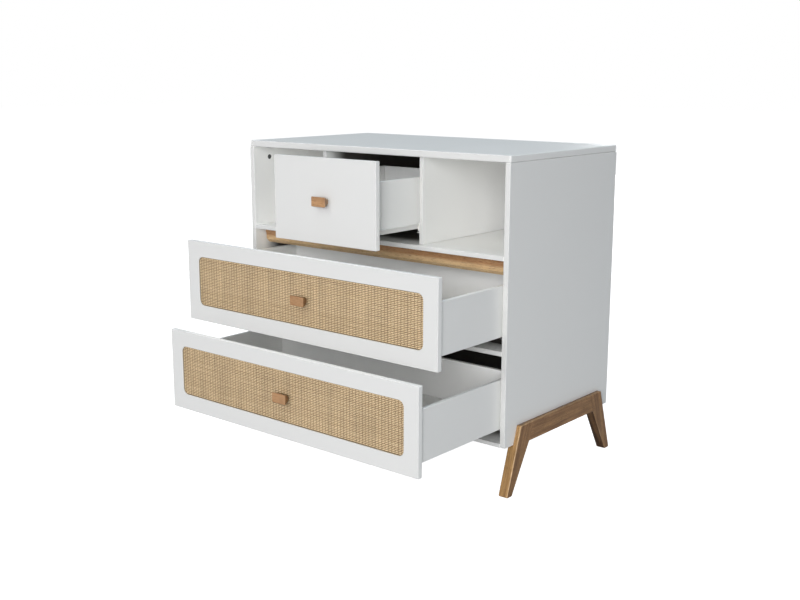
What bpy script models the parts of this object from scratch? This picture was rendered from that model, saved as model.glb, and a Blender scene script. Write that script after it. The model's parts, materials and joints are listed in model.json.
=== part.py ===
"""Chest of drawers: a white case on raked oak legs, two wide drawers with cane panels,
and a small drawer between two open niches.

Metres, +Z up. The front looks along -Y, left and right are as seen from the front.
The drawers stand open by LOWER_OPEN, UPPER_OPEN and SMALL_OPEN, and slide along Y.
"""

import math

import bmesh
import bpy
from mathutils import Matrix, Vector

# Fits shared by all pieces
GAP = 0.0003
OVERRUN = 0.002
WELD = 0.00001

# Case boards
CASE_WIDTH = 1.0
CASE_DEPTH = 0.563
TOP_THICKNESS = 0.019
TOP_CORNER_RADIUS = 0.006
TOP_CORNER_STEPS = 4
TOP_EDGE_RADIUS = 0.003
SIDE_THICKNESS = 0.016
BOTTOM_THICKNESS = 0.011
RAIL_THICKNESS = 0.013
RAIL_DEPTH = 0.075
SHELF_THICKNESS = 0.013
DIVIDER_THICKNESS = 0.013
DIVIDER_RECESS = 0.017
BACK_THICKNESS = 0.005
BACK_INSET = 0.0025
BOARD_EDGE_RADIUS = 0.001

# Clear heights inside the case, from the floor up
LEG_HEIGHT = 0.1415
DRAWER_BAY_HEIGHT = 0.250
NICHE_HEIGHT = 0.2495
SMALL_BAY_WIDTH = 0.362

# Oak strip under the niche shelf
STRIP_SETBACK = 0.0425
STRIP_LEAN = 0.0055
STRIP_FACE_HEIGHT = 0.0385
STRIP_HEIGHT = 0.050
STRIP_THICKNESS = 0.029
STRIP_NOSE = 0.011

# Leg frames, one on each side of the case
LEG_PROUD = 0.014
LEG_THICKNESS = 0.030
LEG_LAP = 0.0545
LEG_TOP_SETBACK = 0.0605
LEG_TOP_WIDTH = 0.063
LEG_KNEE_SETBACK = 0.1045
FOOT_WIDTH = 0.025
FOOT_OVERHANG = 0.0025
LEG_EDGE_RADIUS = 0.003

# Drawer fronts
FRONT_THICKNESS = 0.016
FRONT_SIDE_GAP = 0.0015
FRONT_LOW_GAP = 0.0015
FRONT_TOP_GAP = 0.005
SMALL_FRONT_LAP = 0.001
SMALL_LOW_GAP = 0.0065
SMALL_TOP_GAP = 0.001
WINDOW_BORDER = 0.048
WINDOW_TOP_BORDER = 0.046
WINDOW_RADIUS = 0.018
WINDOW_CORNER_STEPS = 6
WINDOW_LIP = 0.003
PANEL_LAP = 0.008

# Drawer boxes
BOX_BOARD = 0.012
BOX_LENGTH = 0.440
BOX_PANEL = 0.005
BOX_PANEL_RISE = 0.012
BOX_PANEL_EDGE = 0.0006
GROOVE_DEPTH = 0.005
LARGE_BOX_GAP = 0.0055
LARGE_BOX_LOW = 0.038
LARGE_BOX_HEIGHT = 0.142
SMALL_BOX_GAP = 0.0125
SMALL_BOX_LOW = 0.0385
SMALL_BOX_HEIGHT = 0.1445

# Knobs
KNOB_WIDTH = 0.056
KNOB_HEIGHT = 0.031
KNOB_BASE_WIDTH = 0.038
KNOB_BASE_HEIGHT = 0.016
KNOB_LENGTH = 0.022
KNOB_RADIUS = 0.0025

# How far each drawer stands open
LOWER_OPEN = 0.356
UPPER_OPEN = 0.280
SMALL_OPEN = 0.186

# Hidden runners under the wide drawers
RUNNER_SHEET = 0.0015
RUNNER_SETBACK = 0.030
RUNNER_LENGTH = 0.450
RUNNER_FLANGE_RISE = 0.010
RUNNER_WEB_DROP = 0.013
TRACK_WIDTH = 0.012
SLIDE_LENGTH = 0.420
SLIDE_SETBACK = 0.001
SLIDE_WIDTH = 0.024
SLIDE_SIDE_GAP = 0.0025
SLIDE_DROP = 0.004

# Roller runners beside the small drawer
CHANNEL_SHEET = 0.0012
CHANNEL_SETBACK = 0.001
CHANNEL_LENGTH = 0.420
CHANNEL_HEADROOM = 0.0008
CHANNEL_LIP_GAP = 0.001
SMALL_SLIDE_LENGTH = 0.420
SMALL_SLIDE_FOOT = 0.010
SMALL_SLIDE_RISE = 0.0125
SMALL_SLIDE_FLANGE = 0.0085
ROLLER_WIDTH = 0.006
ROLLER_SIDE_GAP = 0.0006
ROLLER_END = 0.014
CASE_ROLLER_RADIUS = 0.0105
BOX_ROLLER_RADIUS = 0.0107
ROLLER_STEPS = 24
ROLLER_EDGE = 0.001
PIN_RADIUS = 0.002

# Fasteners
KNOB_SCREW_RADIUS = 0.002
KNOB_SCREW_HEAD_RADIUS = 0.00425
KNOB_SCREW_HEAD_HEIGHT = 0.0025
KNOB_SCREW_GRIP = 0.014
CAM_RADIUS = 0.0075
CAM_DEPTH = 0.012
CAM_SETBACK = 0.068
CAM_DROP = 0.036
FASTENER_STEPS = 8
HOLE_STEPS = 12
HEAD_CROWN_SHARE = 0.7
HEAD_RIM_SHARE = 0.4

# Levels and planes worked out from the sizes above
CASE_BOTTOM = LEG_HEIGHT
BOTTOM_TOP = CASE_BOTTOM + BOTTOM_THICKNESS
RAIL_LOW = BOTTOM_TOP + DRAWER_BAY_HEIGHT
RAIL_TOP = RAIL_LOW + RAIL_THICKNESS
SHELF_LOW = RAIL_TOP + DRAWER_BAY_HEIGHT
SHELF_TOP = SHELF_LOW + SHELF_THICKNESS
TOP_LOW = SHELF_TOP + NICHE_HEIGHT
LEG_TOP = CASE_BOTTOM + LEG_LAP

CASE_HALF = CASE_WIDTH / 2
INNER_HALF = CASE_HALF - SIDE_THICKNESS
DEPTH_HALF = CASE_DEPTH / 2
CASE_FRONT = -DEPTH_HALF
BACK_FRONT = DEPTH_HALF - BACK_INSET - BACK_THICKNESS
SMALL_BAY_HALF = SMALL_BAY_WIDTH / 2
DIVIDER_FRONT = CASE_FRONT + DIVIDER_RECESS
CHANNEL_FRONT = DIVIDER_FRONT + CHANNEL_SETBACK
RUNNER_FRONT = CASE_FRONT + RUNNER_SETBACK

FRONT_HALF = INNER_HALF - FRONT_SIDE_GAP
FRONT_HEIGHT = DRAWER_BAY_HEIGHT - FRONT_LOW_GAP - FRONT_TOP_GAP
SMALL_FRONT_HALF = SMALL_BAY_HALF + DIVIDER_THICKNESS + SMALL_FRONT_LAP
SMALL_FRONT_HEIGHT = NICHE_HEIGHT - SMALL_LOW_GAP - SMALL_TOP_GAP
LOWER_LOW = BOTTOM_TOP + FRONT_LOW_GAP
UPPER_LOW = RAIL_TOP + FRONT_LOW_GAP
SMALL_LOW = SHELF_TOP + SMALL_LOW_GAP
WINDOW_HALF = FRONT_HALF - WINDOW_BORDER
LARGE_BOX_HALF = INNER_HALF - LARGE_BOX_GAP
SMALL_BOX_HALF = SMALL_BAY_HALF - SMALL_BOX_GAP
BOX_START = FRONT_THICKNESS + GAP
BOX_END = FRONT_THICKNESS + BOX_LENGTH


# Turns that stand an outline drawn in X and Y upright
FACING_SIDE = (math.pi / 2, 0, math.pi / 2)
FACING_FRONT = (math.pi / 2, 0, 0)
SIDES = ((-1, "left"), (1, "right"))


def clear_scene():
    """Removes every object of the scene."""
    for obj in list(bpy.data.objects):
        bpy.data.objects.remove(obj, do_unlink=True)


def new_collection(name):
    """A collection of that name, linked to the scene."""
    collection = bpy.data.collections.new(name)
    bpy.context.scene.collection.children.link(collection)
    return collection


def finish(name, colour, roughness, metallic=0.0):
    """A Principled material: name, linear colour, roughness and metallic value."""
    material = bpy.data.materials.new(name)
    material.use_nodes = True
    shader = material.node_tree.nodes["Principled BSDF"]
    shader.inputs["Base Color"].default_value = (*colour, 1.0)
    shader.inputs["Roughness"].default_value = roughness
    shader.inputs["Metallic"].default_value = metallic
    return material


def add_empty(name, location, parent=None):
    """An empty that carries the pieces of one moving or fixed group."""
    empty = bpy.data.objects.new(name, None)
    PARTS.objects.link(empty)
    empty.location = location
    empty.parent = parent
    return empty


def add_piece(name, bm, place, parent, look, collection=None):
    """Turns a bmesh into an object at a place in its parent's space."""
    mesh = bpy.data.meshes.new(name)
    bm.to_mesh(mesh)
    bm.free()
    if look is not None:
        mesh.materials.append(LOOKS[look])
    piece = bpy.data.objects.new(name, mesh)
    (collection or PARTS).objects.link(piece)
    piece.location = place
    piece.parent = parent
    return piece


def box_mesh(low, high):
    """A box centred on its own origin, as large as the space between two corners."""
    bm = bmesh.new()
    bmesh.ops.create_cube(bm, size=1.0)
    bmesh.ops.scale(bm, vec=Vector(high) - Vector(low), verts=bm.verts)
    return bm


def middle(low, high):
    """The point halfway between two corners."""
    return (Vector(low) + Vector(high)) / 2


def board(name, low, high, parent, look, edge=BOARD_EDGE_RADIUS):
    """A board between two corners of its parent's space, with eased edges."""
    piece = add_piece(name, box_mesh(low, high), middle(low, high), parent, look)
    ease_edges(piece, edge)
    return piece


def ease_edges(piece, radius, steps=1):
    """Bevels every sharp edge of a piece."""
    bevel = piece.modifiers.new("eased_edges", "BEVEL")
    bevel.width = radius
    bevel.segments = steps


def as_cutter(cutter):
    """Marks an object as one that only shapes others."""
    cutter.hide_render = True
    cutter.display_type = "WIRE"
    return cutter


def combine(piece, tool, operation):
    """Adds an exact Boolean of a piece with a cutter or an added lug."""
    boolean = piece.modifiers.new(tool.name, "BOOLEAN")
    boolean.operation = operation
    boolean.solver = "EXACT"
    boolean.object = tool


def cut_box(piece, low, high):
    """Cuts the box between two corners of the parent's space out of a piece."""
    name = "cut_" + piece.name
    cutter = add_piece(name, box_mesh(low, high), middle(low, high), piece.parent, None, CUTTERS)
    combine(piece, as_cutter(cutter), "DIFFERENCE")


def rod(name, start, end, radius, parent, steps=HOLE_STEPS):
    """A round rod between two points of the parent's space, kept with the cutters."""
    start = Vector(start)
    end = Vector(end)
    bm = bmesh.new()
    length = (end - start).length
    bmesh.ops.create_cone(
        bm, cap_ends=True, segments=steps, radius1=radius, radius2=radius, depth=length
    )
    turn = (end - start).to_track_quat("Z", "Y").to_matrix()
    bmesh.ops.rotate(bm, matrix=turn, verts=bm.verts)
    return as_cutter(add_piece(name, bm, (start + end) / 2, parent, None, CUTTERS))


def drill(piece, start, end, radius):
    """Bores a round hole into a piece between two points of the parent's space."""
    hole = rod("bore_" + piece.name, start, end, radius, piece.parent)
    combine(piece, hole, "DIFFERENCE")


def add_pin(piece, start, end, radius):
    """Grows a round pin from a piece between two points of the parent's space."""
    pin = rod("pin_" + piece.name, start, end, radius, piece.parent)
    combine(piece, pin, "UNION")


def outline_mesh(loops, thickness):
    """A flat outline with its holes, given thickness, as a welded bmesh."""
    curve = bpy.data.curves.new("outline", "CURVE")
    curve.dimensions = "2D"
    curve.fill_mode = "BOTH"
    curve.extrude = thickness / 2
    for loop in loops:
        spline = curve.splines.new("POLY")
        spline.points.add(len(loop) - 1)
        for point, (across, up) in zip(spline.points, loop):
            point.co = (across, up, 0, 1)
        spline.use_cyclic_u = True
    holder = bpy.data.objects.new("outline", curve)
    bpy.context.scene.collection.objects.link(holder)
    depsgraph = bpy.context.evaluated_depsgraph_get()
    mesh = bpy.data.meshes.new_from_object(holder.evaluated_get(depsgraph))
    bm = bmesh.new()
    bm.from_mesh(mesh)
    bmesh.ops.remove_doubles(bm, verts=bm.verts, dist=WELD)
    bmesh.ops.dissolve_limit(
        bm, angle_limit=math.radians(1), verts=bm.verts, edges=bm.edges
    )
    bmesh.ops.recalc_face_normals(bm, faces=bm.faces)
    bpy.data.objects.remove(holder, do_unlink=True)
    bpy.data.meshes.remove(mesh)
    return bm


def outline_piece(name, loops, thickness, place, turn, parent, look):
    """A flat outline with thickness, stood upright by a turn and put in place."""
    piece = add_piece(name, outline_mesh(loops, thickness), place, parent, look)
    piece.rotation_euler = turn
    return piece


def rounded_loop(half_width, low, high, radius, steps):
    """The points of a rectangle with round corners, anticlockwise."""
    points = []
    corners = (
        (half_width - radius, low + radius, -math.pi / 2),
        (half_width - radius, high - radius, 0),
        (radius - half_width, high - radius, math.pi / 2),
        (radius - half_width, low + radius, math.pi),
    )
    for across, up, start in corners:
        for step in range(steps + 1):
            angle = start + step / steps * math.pi / 2
            points.append((across + radius * math.cos(angle), up + radius * math.sin(angle)))
    return points


def bent_sheet(name, section, start, length, sheet, parent, look):
    """Folded sheet metal: the centre line of its section in X and Z, drawn out along Y."""
    bm = bmesh.new()
    verts = [bm.verts.new((across, 0, up)) for across, up in section]
    edges = [bm.edges.new(pair) for pair in zip(verts, verts[1:])]
    drawn = bmesh.ops.extrude_edge_only(bm, edges=edges)["geom"]
    far = [item for item in drawn if isinstance(item, bmesh.types.BMVert)]
    bmesh.ops.translate(bm, verts=far, vec=(0, length, 0))
    bmesh.ops.recalc_face_normals(bm, faces=bm.faces)
    piece = add_piece(name, bm, (0, start, 0), parent, look)
    shell = piece.modifiers.new("sheet", "SOLIDIFY")
    shell.thickness = sheet
    shell.offset = 0
    shell.use_even_offset = True
    return piece


def turned_mesh(profile, steps, closed=False):
    """Spins a profile of (radius, height) points round Z into a solid."""
    bm = bmesh.new()
    verts = [bm.verts.new((radius, 0, height)) for radius, height in profile]
    pairs = list(zip(verts, verts[1:]))
    if closed:
        pairs.append((verts[-1], verts[0]))
    edges = [bm.edges.new(pair) for pair in pairs]
    bmesh.ops.spin(
        bm, geom=verts + edges, cent=(0, 0, 0), axis=(0, 0, 1), angle=2 * math.pi,
        steps=steps, use_merge=True
    )
    bmesh.ops.remove_doubles(bm, verts=bm.verts, dist=WELD)
    bmesh.ops.recalc_face_normals(bm, faces=bm.faces)
    return bm


def screw_profile(head_radius, head_height, shank_radius, length):
    """Half the outline of a pan-head screw whose head rests on the plane at zero."""
    point = shank_radius / 2
    return (
        (0, head_height),
        (head_radius * HEAD_CROWN_SHARE, head_height),
        (head_radius, head_height * HEAD_RIM_SHARE),
        (head_radius, 0),
        (shank_radius, 0),
        (shank_radius, point - length),
        (0, -length),
    )


def fastener(name, profile, place, drive, parent, look):
    """A turned fastener: the point under its head, and the way it is driven."""
    bm = turned_mesh(profile, FASTENER_STEPS)
    turn = (-Vector(drive)).to_track_quat("Z", "Y").to_matrix()
    bmesh.ops.rotate(bm, matrix=turn, verts=bm.verts)
    return add_piece(name, bm, place, parent, look)


def make_case(case):
    """The top, sides, bottom, rail, shelf, dividers and back of the case."""
    make_top(case)
    reach = INNER_HALF - GAP
    stop = BACK_FRONT - GAP
    for side, word in SIDES:
        across = sorted((side * INNER_HALF, side * CASE_HALF))
        low = (across[0], CASE_FRONT, CASE_BOTTOM)
        high = (across[1], DEPTH_HALF, TOP_LOW - GAP)
        panel = board("side_panel_" + word, low, high, case, "lacquer")
        fit_cam_lock(case, panel, side, word)
        across = sorted((side * SMALL_BAY_HALF, side * (SMALL_BAY_HALF + DIVIDER_THICKNESS)))
        low = (across[0], DIVIDER_FRONT, SHELF_TOP + GAP)
        board("divider_" + word, low, (across[1], stop, TOP_LOW - GAP), case, "lacquer")
    shelves = (
        ("bottom_panel", CASE_BOTTOM, BOTTOM_TOP, stop),
        ("mid_rail", RAIL_LOW, RAIL_TOP, CASE_FRONT + RAIL_DEPTH),
        ("niche_shelf", SHELF_LOW, SHELF_TOP, stop),
    )
    for name, low, high, rear in shelves:
        board(name, (-reach, CASE_FRONT, low), (reach, rear, high), case, "lacquer")
    low = (-reach, BACK_FRONT, CASE_BOTTOM)
    high = (reach, BACK_FRONT + BACK_THICKNESS, TOP_LOW - GAP)
    board("back_panel", low, high, case, "hardboard")


def fit_cam_lock(case, panel, side, word):
    """The front cam lock of the top panel, let into the inner face of a side panel."""
    along = CASE_FRONT + CAM_SETBACK
    level = TOP_LOW - CAM_DROP
    mouth = (side * (INNER_HALF - OVERRUN), along, level)
    floor = (side * (INNER_HALF + CAM_DEPTH + GAP), along, level)
    drill(panel, mouth, floor, CAM_RADIUS + GAP)
    profile = ((0, 0), (CAM_RADIUS, 0), (CAM_RADIUS, -CAM_DEPTH), (0, -CAM_DEPTH))
    place = (side * INNER_HALF, along, level)
    fastener("cam_lock_" + word, profile, place, (side, 0, 0), case, "dark_zinc")


def make_top(case):
    """The top panel, with round corners in plan and softer edges than the other boards."""
    corner = rounded_loop(
        CASE_HALF, CASE_FRONT, DEPTH_HALF, TOP_CORNER_RADIUS, TOP_CORNER_STEPS
    )
    place = (0, 0, TOP_LOW + TOP_THICKNESS / 2)
    top = outline_piece("top_panel", [corner], TOP_THICKNESS, place, (0, 0, 0), case, "lacquer")
    bevel = top.modifiers.new("soft_edges", "BEVEL")
    bevel.width = TOP_EDGE_RADIUS
    bevel.segments = 3
    bevel.limit_method = "ANGLE"
    bevel.angle_limit = math.radians(60)
    return top


def make_strip(case):
    """The oak strip under the shelf: a face that leans back and a nose that turns under."""
    top = SHELF_LOW - GAP
    face = CASE_FRONT + STRIP_SETBACK
    low = top - STRIP_HEIGHT
    loop = (
        (face, top),
        (face + STRIP_LEAN, top - STRIP_FACE_HEIGHT),
        (face + STRIP_LEAN + STRIP_NOSE, low),
        (face + STRIP_THICKNESS, low),
        (face + STRIP_THICKNESS, top),
    )
    width = 2 * (INNER_HALF - GAP)
    strip = outline_piece("accent_strip", [loop], width, (0, 0, 0), FACING_SIDE, case, "oak")
    return strip


def leg_loop(end):
    """A raked leg seen from the side. end is -1 for the front leg and 1 for the rear one."""
    top_outer = DEPTH_HALF - LEG_TOP_SETBACK
    foot_outer = DEPTH_HALF + FOOT_OVERHANG
    return (
        (end * top_outer, LEG_TOP),
        (end * (top_outer - LEG_TOP_WIDTH), LEG_TOP),
        (end * (DEPTH_HALF - LEG_KNEE_SETBACK), CASE_BOTTOM),
        (end * (foot_outer - FOOT_WIDTH), 0),
        (end * foot_outer, 0),
    )


def make_legs(case):
    """Four legs, lapped outside the side panels and shouldered under them."""
    middle_x = CASE_HALF + LEG_PROUD - LEG_THICKNESS / 2
    inner_x = middle_x - LEG_THICKNESS / 2
    for side, side_word in SIDES:
        for end, end_word in ((-1, "front"), (1, "rear")):
            name = "leg_" + end_word + "_" + side_word
            place = (side * middle_x, 0, 0)
            leg = outline_piece(
                name, [leg_loop(end)], LEG_THICKNESS, place, FACING_SIDE, case, "oak"
            )
            ease_edges(leg, LEG_EDGE_RADIUS, 2)
            shoulder = sorted((side * (inner_x - OVERRUN), side * (CASE_HALF + GAP)))
            low = (shoulder[0], -DEPTH_HALF, CASE_BOTTOM - GAP)
            high = (shoulder[1], DEPTH_HALF, LEG_TOP + OVERRUN)
            cut_box(leg, low, high)


def make_leg_rails(case):
    """The rails that tie the legs of each side together."""
    top_end = DEPTH_HALF - LEG_TOP_SETBACK - LEG_TOP_WIDTH - GAP
    low_end = DEPTH_HALF - LEG_KNEE_SETBACK - GAP
    loop = (
        (-top_end, LEG_TOP),
        (-low_end, CASE_BOTTOM),
        (low_end, CASE_BOTTOM),
        (top_end, LEG_TOP),
    )
    thickness = LEG_PROUD - GAP
    for side, word in SIDES:
        place = (side * (CASE_HALF + GAP + thickness / 2), 0, 0)
        name = "leg_rail_" + word
        rail = outline_piece(name, [loop], thickness, place, FACING_SIDE, case, "oak")
        ease_edges(rail, BOARD_EDGE_RADIUS)


def track_middle():
    """How far from the centre the tracks of the hidden runners lie."""
    return LARGE_BOX_HALF - BOX_BOARD - SLIDE_SIDE_GAP - SLIDE_WIDTH / 2


def make_case_runners(case, low, prefix):
    """The fixed halves of the hidden runners of a wide drawer."""
    half = RUNNER_SHEET / 2
    under_box = low + LARGE_BOX_LOW
    web = under_box - RUNNER_WEB_DROP + half
    crown = under_box + BOX_PANEL_RISE - GAP - RUNNER_SHEET - GAP - half
    outer = track_middle() + TRACK_WIDTH / 2 - half
    inner = track_middle() - TRACK_WIDTH / 2 + half
    flange = INNER_HALF - GAP - half
    for side, word in SIDES:
        section = (
            (side * flange, under_box + RUNNER_FLANGE_RISE),
            (side * flange, web),
            (side * outer, web),
            (side * outer, crown),
            (side * inner, crown),
            (side * inner, web - half),
        )
        name = prefix + "_case_runner_" + word
        bent_sheet(name, section, RUNNER_FRONT, RUNNER_LENGTH, RUNNER_SHEET, case, "zinc")


def make_drawer_runners(drawer, prefix):
    """The moving halves of the hidden runners, turned over the tracks under the box."""
    half = RUNNER_SHEET / 2
    crown = LARGE_BOX_LOW + BOX_PANEL_RISE - GAP - half
    foot = LARGE_BOX_LOW - SLIDE_DROP
    outer = track_middle() + SLIDE_WIDTH / 2 - half
    inner = track_middle() - SLIDE_WIDTH / 2 + half
    start = BOX_START + BOX_BOARD + SLIDE_SETBACK
    for side, word in SIDES:
        section = (
            (side * outer, foot),
            (side * outer, crown),
            (side * inner, crown),
            (side * inner, foot),
        )
        name = prefix + "_runner_" + word
        bent_sheet(name, section, start, SLIDE_LENGTH, RUNNER_SHEET, drawer, "zinc")


def make_box(drawer, prefix, half, low, height, start):
    """The two sides, the back and the bottom of a drawer box, behind the plane start."""
    inner = half - BOX_BOARD
    panel_low = low + BOX_PANEL_RISE
    panel_high = panel_low + BOX_PANEL
    for side, word in SIDES:
        near = min(side * inner, side * half)
        far = max(side * inner, side * half)
        name = prefix + "_side_" + word
        corner = (far, BOX_END, low + height)
        wall = board(name, (near, BOX_START, low), corner, drawer, "lacquer")
        groove = sorted((side * (inner - OVERRUN), side * (inner + GROOVE_DEPTH)))
        groove_low = (groove[0], BOX_START - OVERRUN, panel_low - GAP)
        cut_box(wall, groove_low, (groove[1], BOX_END + OVERRUN, panel_high + GAP))
    reach = inner - GAP
    back_low = (-reach, BOX_END - BOX_BOARD, panel_high + GAP)
    board(prefix + "_back", back_low, (reach, BOX_END, low + height), drawer, "lacquer")
    edge = inner + GROOVE_DEPTH - GAP
    panel_front = (-edge, start - GROOVE_DEPTH + GAP, panel_low)
    name = prefix + "_bottom"
    corner = (edge, BOX_END, panel_high)
    board(name, panel_front, corner, drawer, "lacquer", BOX_PANEL_EDGE)


def cut_front_groove(piece, half, low, rear):
    """Cuts the groove for the drawer bottom into the rear face of a front board."""
    edge = half - BOX_BOARD + GROOVE_DEPTH
    panel_low = low + BOX_PANEL_RISE - GAP
    panel_high = low + BOX_PANEL_RISE + BOX_PANEL + GAP
    cut_box(piece, (-edge, rear - GROOVE_DEPTH, panel_low), (edge, rear + OVERRUN, panel_high))


def make_knob(drawer, prefix, level, base):
    """A knob that flares towards its face, on a base plane at that depth."""
    front = base - KNOB_LENGTH
    low = (-KNOB_WIDTH / 2, front, level - KNOB_HEIGHT / 2)
    high = (KNOB_WIDTH / 2, base, level + KNOB_HEIGHT / 2)
    bm = box_mesh(low, high)
    rear = [vert for vert in bm.verts if vert.co.y > 0]
    taper = (KNOB_BASE_WIDTH / KNOB_WIDTH, 1, KNOB_BASE_HEIGHT / KNOB_HEIGHT)
    bmesh.ops.scale(bm, vec=taper, verts=rear)
    knob = add_piece(prefix + "_knob", bm, middle(low, high), drawer, "oak")
    ease_edges(knob, KNOB_RADIUS, 2)
    return knob


def fit_knob_screw(drawer, prefix, level, seat, knob, boards):
    """The screw that holds a knob from inside, with its holes in the knob and the boards."""
    point = (0, seat + GAP, level)
    tip = -KNOB_SCREW_GRIP
    bore = KNOB_SCREW_RADIUS + GAP
    for piece in [knob] + boards:
        drill(piece, (0, seat + OVERRUN, level), (0, tip - GAP, level), bore)
    length = seat + GAP - tip
    profile = screw_profile(
        KNOB_SCREW_HEAD_RADIUS, KNOB_SCREW_HEAD_HEIGHT, KNOB_SCREW_RADIUS, length
    )
    name = prefix + "_knob_screw"
    fastener(name, profile, point, (0, -1, 0), drawer, "zinc")


def make_large_front(drawer, prefix):
    """A frame with a round-cornered window, and the cane panel held behind its lip."""
    outer = (
        (-FRONT_HALF, 0),
        (FRONT_HALF, 0),
        (FRONT_HALF, FRONT_HEIGHT),
        (-FRONT_HALF, FRONT_HEIGHT),
    )
    window_top = FRONT_HEIGHT - WINDOW_TOP_BORDER
    window = rounded_loop(
        WINDOW_HALF, WINDOW_BORDER, window_top, WINDOW_RADIUS, WINDOW_CORNER_STEPS
    )
    place = (0, FRONT_THICKNESS / 2, 0)
    frame = outline_piece(
        prefix + "_frame", [outer, window], FRONT_THICKNESS, place, FACING_FRONT, drawer, "lacquer"
    )
    edge = WINDOW_HALF + PANEL_LAP
    low = WINDOW_BORDER - PANEL_LAP
    high = window_top + PANEL_LAP
    cut_box(frame, (-edge, WINDOW_LIP, low), (edge, FRONT_THICKNESS + OVERRUN, high))
    panel = board(
        prefix + "_rattan", (GAP - edge, WINDOW_LIP + GAP, low + GAP),
        (edge - GAP, FRONT_THICKNESS, high - GAP), drawer, "cane"
    )
    return panel


def make_large_drawer(case, prefix, low, opening):
    """A wide drawer: frame, cane panel, four-sided box, knob and runner halves."""
    drawer = add_empty(prefix, (0, CASE_FRONT - opening, low), case)
    panel = make_large_front(drawer, prefix)
    rear = BOX_START + BOX_BOARD
    reach = LARGE_BOX_HALF - BOX_BOARD - GAP
    top = LARGE_BOX_LOW + LARGE_BOX_HEIGHT
    low_corner = (-reach, BOX_START, LARGE_BOX_LOW)
    name = prefix + "_box_front"
    box_front = board(name, low_corner, (reach, rear, top), drawer, "lacquer")
    cut_front_groove(box_front, LARGE_BOX_HALF, LARGE_BOX_LOW, rear)
    make_box(drawer, prefix, LARGE_BOX_HALF, LARGE_BOX_LOW, LARGE_BOX_HEIGHT, rear)
    level = FRONT_HEIGHT / 2
    knob = make_knob(drawer, prefix, level, WINDOW_LIP)
    fit_knob_screw(drawer, prefix, level, rear, knob, [panel, box_front])
    make_drawer_runners(drawer, prefix)


def make_small_drawer(case):
    """The narrow drawer: one solid front, its box and its knob."""
    drawer = add_empty("small_drawer", (0, CASE_FRONT - SMALL_OPEN, SMALL_LOW), case)
    front = board(
        "small_drawer_front", (-SMALL_FRONT_HALF, 0, 0),
        (SMALL_FRONT_HALF, FRONT_THICKNESS, SMALL_FRONT_HEIGHT), drawer, "lacquer"
    )
    cut_front_groove(front, SMALL_BOX_HALF, SMALL_BOX_LOW, FRONT_THICKNESS)
    make_box(
        drawer, "small_drawer", SMALL_BOX_HALF, SMALL_BOX_LOW, SMALL_BOX_HEIGHT, FRONT_THICKNESS
    )
    level = SMALL_FRONT_HEIGHT / 2
    knob = make_knob(drawer, "small_drawer", level, -GAP)
    fit_knob_screw(drawer, "small_drawer", level, FRONT_THICKNESS, knob, [front])
    return drawer


def flange_low():
    """Height of the underside of the small drawer's running flange."""
    return SMALL_BOX_LOW + SMALL_SLIDE_RISE - CHANNEL_SHEET


def case_roller_level():
    """Height of the case rollers' axes, under the running flange."""
    return flange_low() - GAP - CASE_ROLLER_RADIUS


def channel_floor():
    """Height of the channel's running floor, which clears the case roller by the headroom."""
    return case_roller_level() - CASE_ROLLER_RADIUS - CHANNEL_HEADROOM


def channel_ceiling():
    """Height of the underside of the channel's upper lip."""
    return flange_low() + CHANNEL_SHEET + CHANNEL_HEADROOM


def box_roller_level():
    """Height of the axes of the rollers that stand on the channel's floor."""
    return channel_floor() + GAP + BOX_ROLLER_RADIUS


def slide_face():
    """How far from the centre the outer face of the small drawer's runners lies."""
    return SMALL_BOX_HALF + GAP + CHANNEL_SHEET


def roller_middle():
    """How far from the centre the rollers' middle planes lie."""
    return slide_face() + ROLLER_SIDE_GAP + ROLLER_WIDTH / 2


def make_small_case_runners(case):
    """The channels on the dividers, each with the pin of its front roller."""
    half = CHANNEL_SHEET / 2
    web = SMALL_BAY_HALF - GAP - half
    lip = slide_face() + CHANNEL_LIP_GAP
    floor = SMALL_LOW + channel_floor() - half
    ceiling = SMALL_LOW + channel_ceiling() + half
    axis_y = CHANNEL_FRONT + ROLLER_END
    axis_z = SMALL_LOW + case_roller_level()
    for side, word in SIDES:
        section = (
            (side * lip, floor),
            (side * web, floor),
            (side * web, ceiling),
            (side * lip, ceiling),
        )
        name = "small_case_runner_" + word
        runner = bent_sheet(
            name, section, CHANNEL_FRONT, CHANNEL_LENGTH, CHANNEL_SHEET, case, "epoxy"
        )
        root = (side * web, axis_y, axis_z)
        tip = (side * (slide_face() + GAP), axis_y, axis_z)
        add_pin(runner, root, tip, PIN_RADIUS)


def make_small_drawer_runners(drawer):
    """The angle runners on the small drawer, each with the pin of its rear roller."""
    half = CHANNEL_SHEET / 2
    wall = SMALL_BOX_HALF + GAP + half
    foot = SMALL_BOX_LOW - GAP - half
    flange = flange_low() + half
    axis_y = BOX_START + SMALL_SLIDE_LENGTH - ROLLER_END
    for side, word in SIDES:
        section = (
            (side * (SMALL_BOX_HALF - SMALL_SLIDE_FOOT), foot),
            (side * wall, foot),
            (side * wall, flange),
            (side * (SMALL_BOX_HALF + GAP + SMALL_SLIDE_FLANGE), flange),
        )
        name = "small_drawer_runner_" + word
        runner = bent_sheet(
            name, section, BOX_START, SMALL_SLIDE_LENGTH, CHANNEL_SHEET, drawer, "epoxy"
        )
        root = (side * wall, axis_y, box_roller_level())
        reach = roller_middle() + ROLLER_WIDTH / 2 + GAP
        add_pin(runner, root, (side * reach, axis_y, box_roller_level()), PIN_RADIUS)


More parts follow.
